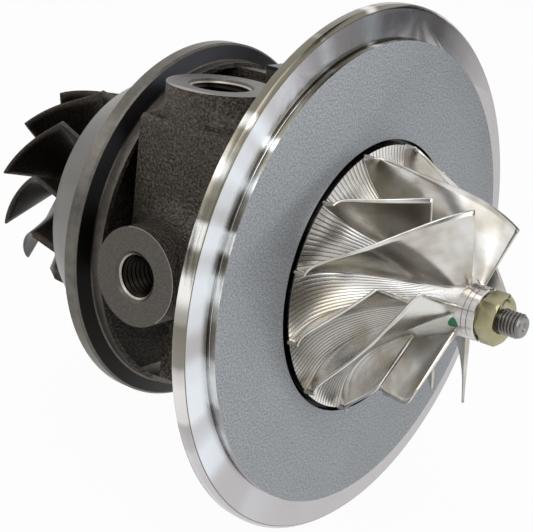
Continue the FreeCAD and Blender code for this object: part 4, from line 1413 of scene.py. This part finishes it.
@dataclass
class TurbineWheel:
    """Dark cast wheel of eleven blades."""

    blades: int = 11
    outlet: float = -107.9 * MM
    outlet_radius: float = 26.6 * MM
    corner: float = -92.4 * MM
    radius: float = 30.0 * MM
    back: float = -79.8 * MM
    disc_radius: float = 27.0 * MM
    disc_thickness: float = 1.6 * MM
    hub_radius: float = 7.2 * MM
    nose_length: float = 4.5 * MM
    turning: float = math.radians(36.8)
    lean: float = math.radians(8.0)
    phase: float = math.radians(103.5)
    hub_fullness: tuple[float, float] = (1.15, 1.15)
    turning_course: tuple[float, float] = (1.9, -0.9)
    tip_power: int = 3
    root_sink: float = 1.0 * MM
    root_thickness: float = 2.0 * MM
    tip_thickness: float = 0.9 * MM
    stream_steps: int = 40
    span_steps: int = 12
    hub_steps: int = 24
    turned_steps: int = 132
    rim_edge: float = 0.3 * MM
    nose_front: float = 1.6 * MM
    nose_side: float = 0.6 * MM
    nose_rise: float = 1.0 * MM

    def angle_at(self, along: float) -> float:
        """How far the blade has turned round the shaft at a place along it.

        Args:
            along: The place.

        Returns:
            The angle in radians.
        """
        if along > self.corner:
            return self.lean * (along - self.corner) / (self.back - self.corner) - self.turning
        share = (along - self.outlet) / (self.corner - self.outlet)
        first, second = self.turning_course
        return -self.turning * (first * share + second * share**2)

    def tip_at(self, along: float) -> float:
        """Tip radius at a place along the shaft."""
        share = min((along - self.outlet) / (self.corner - self.outlet), 1.0)
        return self.outlet_radius + (self.radius - self.outlet_radius) * share**self.tip_power

    def build_blades(self) -> bpy.types.Object:
        """All blades as one piece.

        Returns:
            The piece.
        """
        grid = np.zeros((self.stream_steps, self.span_steps, 3))
        front = self.back - self.disc_thickness * 0.5
        for i in range(self.stream_steps):
            along = self.outlet + (front - self.outlet) * i / (self.stream_steps - 1)
            angle = self.phase + self.angle_at(along)
            for j in range(self.span_steps):
                share = j / (self.span_steps - 1)
                low = self.hub_radius - self.root_sink
                radius = low + (self.tip_at(along) - low) * share
                grid[i, j] = shaft_point(along, radius, angle)
        sheet = BladeSheet(grid, self.root_thickness, self.tip_thickness)
        some, corners, lanes = sheet.solid()
        blades = []
        for index in range(self.blades):
            turn = Matrix.Rotation(2 * math.pi / self.blades * index, 4, "Z")
            blades.append(([turn @ v for v in some], corners, lanes))
        vertices, faces, _ = join_blades(blades)
        return new_piece("cast_turbine_blades", vertices, faces, "turbine", Body.ROTOR)

    def build_hub(self) -> bpy.types.Object:
        """Hub, nose and back disc.

        Returns:
            The piece.
        """
        outer = (self.back - self.disc_thickness, self.disc_radius)
        inner = (self.outlet, self.hub_radius)
        steps = self.hub_steps
        line = [quarter_curve(k / steps, inner, outer, self.hub_fullness)
                for k in range(steps + 1)]
        nose = self.outlet - self.nose_length
        outline = [
            (nose, 0.0),
            (nose, self.hub_radius - self.nose_front),
            (nose + self.nose_rise, self.hub_radius - self.nose_side),
            *line,
            (self.back - self.rim_edge, self.disc_radius),
            (self.back, self.disc_radius - self.rim_edge),
            (self.back, 0.0),
        ]
        vertices, faces = lathe(outline, self.turned_steps)
        piece = new_piece("cast_turbine_hub", vertices, faces, "turbine", Body.ROTOR)
        sharpen(piece)
        return piece

    def build(self) -> None:
        """Build the wheel and let it stand for its CAD node."""
        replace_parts(self.build_blades(), "turbine_wheel_blades")
        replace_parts(self.build_hub(), "turbine_wheel")


@dataclass
class Shaft:
    """Stepped rotor shaft with its rolled thread and centre hole."""

    back: float = -79.8 * MM
    land: float = 8.7 * MM
    land_front: float = -70.42 * MM
    groove: tuple[float, float] = (-74.62 * MM, -72.78 * MM)
    groove_floor: float = 7.1 * MM
    journal: float = 5.08 * MM
    waist: tuple[float, float] = (-50.0 * MM, -35.2 * MM)
    waist_radius: float = 4.68 * MM
    shoulder: float = -21.3 * MM
    stub: float = 3.175 * MM
    thread_start: float = 38.6 * MM
    thread_end: float = 43.9 * MM
    thread_root: float = 2.66 * MM
    end: float = 44.3 * MM
    hole: float = 1.1 * MM
    hole_depth: float = 1.65 * MM
    pitch: float = 0.907 * MM
    turned_steps: int = 96

    def build(self) -> None:
        """Turn the shaft and roll its thread."""
        soft = 0.25 * MM
        outline = [
            (self.back, 0.0),
            (self.back, self.land),
            (self.groove[0], self.land),
            (self.groove[0], self.groove_floor),
            (self.groove[1], self.groove_floor),
            (self.groove[1], self.land),
            (self.land_front, self.land),
            (self.land_front, self.journal),
            (self.waist[0], self.journal),
            (self.waist[0], self.waist_radius),
            (self.waist[1], self.waist_radius),
            (self.waist[1], self.journal),
            (self.shoulder, self.journal),
            (self.shoulder, self.stub),
            (self.thread_start - soft, self.stub),
            (self.thread_start, self.thread_root),
            (self.end - soft, self.thread_root),
            (self.end, self.thread_root - soft),
            (self.end, self.hole),
            (self.end - self.hole_depth, 0.0),
        ]
        vertices, faces = lathe(outline, self.turned_steps)
        piece = new_piece("turned_shaft", vertices, faces, "shaft", Body.ROTOR)
        sharpen(piece)
        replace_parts(piece, "rotor_shaft")
        Thread(self.thread_root, self.stub, self.pitch, self.thread_start, self.thread_end).build(
            "stub_thread", "stub_thread", Body.ROTOR, SHAFT_TO_ROW)


@dataclass
class PortThreads:
    """Threads inside the two coolant ports and the oil inlet."""

    def build(self) -> None:
        """Cut each port's thread."""
        upright = Matrix.Translation((-35 * MM, -23.5 * MM, 0.0))
        oil = Matrix.Translation((-28 * MM, 12.5 * MM, 0.0))
        outward = Matrix.Translation((-34 * MM, 0.0, 0.0)) @ Matrix.Rotation(math.pi / 2, 4, "X")
        for name, matrix, root, crest, start, end in (
            ("coolant_outlet_thread", upright, 7.25, 6.6, 31.0, 43.1),
            ("coolant_inlet_thread", outward, 5.25, 4.65, 38.5, 49.3),
            ("oil_inlet_thread", oil, 4.45, 3.9, 31.0, 45.4),
        ):
            thread = Thread(root * MM, crest * MM, 1.5 * MM, start * MM, end * MM)
            thread.build(name, "thread", Body.HOUSING, matrix)


@dataclass
class Cartridge:
    """Everything that keeps its CAD shape and only gets a finish."""

    dressed: dict[str, str] = field(default_factory=lambda: {
        "backplate_screws": "screw",
        "backplate_seal_ring": "seal",
        "heat_shield": "shield",
        "thrust_bearing": "bronze",
        "thrust_bearing_pins": "collar",
        "oil_deflector": "deflector",
        "turbine_piston_ring": "spring",
        "compressor_piston_ring": "spring",
        "turbine_bearing": "bronze",
        "compressor_bearing": "bronze",
        "turbine_bearing_outer_clip": "spring",
        "turbine_bearing_inner_clip": "spring",
        "compressor_bearing_inner_clip": "spring",
        "compressor_bearing_outer_clip": "spring",
        "thrust_collar": "collar",
        "thrust_spacer": "collar",
        "centre_housing": "housing",
    })

    def build(self) -> None:
        """Dress the nodes and make the turned backplate."""
        for node, finish in self.dressed.items():
            dress(node, finish)
        plate = turned_copy(
            "compressor_backplate", "backplate", "backplate", Body.HOUSING, 0.12 * MM)
        self.blast(plate)
        turned_copy("shaft_nut", "zinc_nut", "nut", Body.ROTOR, 0.16 * MM)

    def blast(self, plate: bpy.types.Object) -> None:
        """Give the raised front face of the backplate its blasted finish.

        Args:
            plate: The backplate.
        """
        plate.data.materials.append(PALETTE.get("blasted"))
        inner, outer, flat = 35.2 * MM, 60.1 * MM, 0.02 * MM
        for polygon in plate.data.polygons:
            points = [plate.data.vertices[v].co for v in polygon.vertices]
            level = all(abs(p.z) < flat for p in points)
            ringed = all(inner < p.xy.length < outer for p in points)
            if level and ringed:
                polygon.material_index = 1


# Studio


@dataclass
class Lamp:
    """A soft square light that faces the object."""

    name: str
    place: tuple[float, float, float]
    size: float
    power: float
    color: tuple[float, float, float] = (1.0, 1.0, 1.0)

    def build(self, target: Vector) -> None:
        """Hang the lamp and aim it.

        Args:
            target: What it faces.
        """
        data = bpy.data.lights.new(self.name, "AREA")
        data.shape = "SQUARE"
        data.size = self.size
        data.energy = self.power
        data.color = self.color
        lamp = bpy.data.objects.new(self.name, data)
        bpy.context.scene.collection.objects.link(lamp)
        lamp.location = Vector(self.place)
        lamp.rotation_mode = "QUATERNION"
        lamp.rotation_quaternion = (target - lamp.location).to_track_quat("-Z", "Y")


@dataclass
class Studio:
    """Camera, lamps, floor and white surroundings."""

    camera_place: tuple[float, float, float] = (185.26 * MM, -293.55 * MM, 109.89 * MM)
    azimuth: float = math.radians(36.60)
    elevation: float = math.radians(17.63)
    roll: float = math.radians(6.22)
    focal_pixels: float = 1436.5
    frame_pixels: float = 533.0
    sensor: float = 36.0
    floor_level: float = -70.0 * MM
    floor_size: float = 24.0
    floor_white: float = 0.96
    world_level: float = 0.45
    card_level: float = 0.05
    target: tuple[float, float, float] = (-20 * MM, 0.0, 0.0)

    def camera(self) -> None:
        """Set the camera up as the photograph was taken."""
        data = bpy.data.cameras.new("camera")
        data.sensor_width = self.sensor
        data.lens = self.focal_pixels / self.frame_pixels * self.sensor
        data.clip_start = 0.01
        data.clip_end = 50.0
        a, e = self.azimuth, self.elevation
        back = Vector((math.sin(a) * math.cos(e), -math.cos(a) * math.cos(e), math.sin(e)))
        level = Vector((math.cos(a), math.sin(a), 0.0))
        upright = back.cross(level)
        right = level * math.cos(self.roll) + upright * math.sin(self.roll)
        up = upright * math.cos(self.roll) - level * math.sin(self.roll)
        axes = Matrix((right, up, back)).transposed()
        camera = bpy.data.objects.new("camera", data)
        bpy.context.scene.collection.objects.link(camera)
        camera.matrix_world = Matrix.Translation(self.camera_place) @ axes.to_4x4()
        bpy.context.scene.camera = camera

    def world(self) -> None:
        """White surroundings for what the camera and metal see, dimmer light from them."""
        world = bpy.data.worlds.new("surroundings")
        bpy.context.scene.world = world
        graph = Graph(world)
        strength = graph.seen() * (1.0 - self.world_level) + self.world_level
        background = graph.node(
            "ShaderNodeBackground", {}, {"Color": (1.0, 1.0, 1.0, 1.0), "Strength": strength})
        graph.close(background, "ShaderNodeOutputWorld")

    def floor(self) -> None:
        """Pale floor that fades into the white surroundings and keeps a faint shadow."""
        graph = Graph.of_material("white_floor")
        white = graph.node("ShaderNodeEmission", {}, {"Color": (1, 1, 1, 1), "Strength": 1.0})
        paper = graph.node("ShaderNodeBsdfDiffuse", {}, {"Color": (0.9, 0.9, 0.9, 1)})
        share = graph.seen() * self.floor_white
        shader = graph.node("ShaderNodeMixShader", {}, {0: share, 1: paper, 2: white})
        material = graph.close(shader, "ShaderNodeOutputMaterial")
        level = Matrix.Translation((0.0, 0.0, self.floor_level))
        flat_card("floor", self.floor_size, self.floor_size, material, level)

    def lamps(self) -> None:
        """Soft lights."""
        for lamp in (
            Lamp("key", (0.35, -0.45, 0.95), 0.7, 3.6),
            Lamp("fill", (1.1, 0.1, 0.25), 0.6, 1.6),
            Lamp("rim", (-0.8, -0.5, 0.4), 0.5, 1.4),
        ):
            lamp.build(Vector(self.target))

    def cards(self) -> None:
        """Grey cards that only reflections see, so that bright metal has something dark in it."""
        graph = Graph.of_material("grey_card")
        inputs = {"Color": (1, 1, 1, 1), "Strength": self.card_level}
        grey = graph.node("ShaderNodeEmission", {}, inputs)
        material = graph.close(grey, "ShaderNodeOutputMaterial")
        for name, place, width, height in (
            ("card_behind_camera", (0.45, -1.1, 0.1), 0.32, 0.9),
            ("card_low_front", (0.75, -0.7, -0.25), 0.3, 0.5),
            ("card_front", (1.1, -0.35, 0.2), 0.35, 1.0),
            ("card_right", (0.8, 0.85, 0.0), 0.55, 0.8),
            ("card_left", (-0.9, -0.8, 0.2), 0.5, 1.0),
            ("card_above", (0.1, 0.35, 1.0), 0.9, 0.35),
            ("card_far_side", (0.2, 1.1, 0.4), 0.7, 0.5),
        ):
            spot = Vector(place)
            turn = (Vector(self.target) - spot).to_track_quat("-Z", "Y").to_matrix().to_4x4()
            card = flat_card(name, width, height, material, Matrix.Translation(spot) @ turn)
            card.visible_camera = False
            card.visible_diffuse = False
            card.visible_shadow = False

    def build(self) -> None:
        """Set the studio up."""
        self.camera()
        self.world()
        self.floor()
        self.lamps()
        self.cards()
        bpy.context.scene.view_settings.view_transform = "Standard"


def main() -> None:
    """Dress the whole cartridge."""
    logging.basicConfig(level=logging.INFO, format="%(message)s")
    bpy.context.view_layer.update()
    Studio().build()
    Cartridge().build()
    CompressorWheel().build()
    TurbineWheel().build()
    Shaft().build()
    PortThreads().build()
    bpy.context.view_layer.update()


if __name__ == "__main__":
    main()
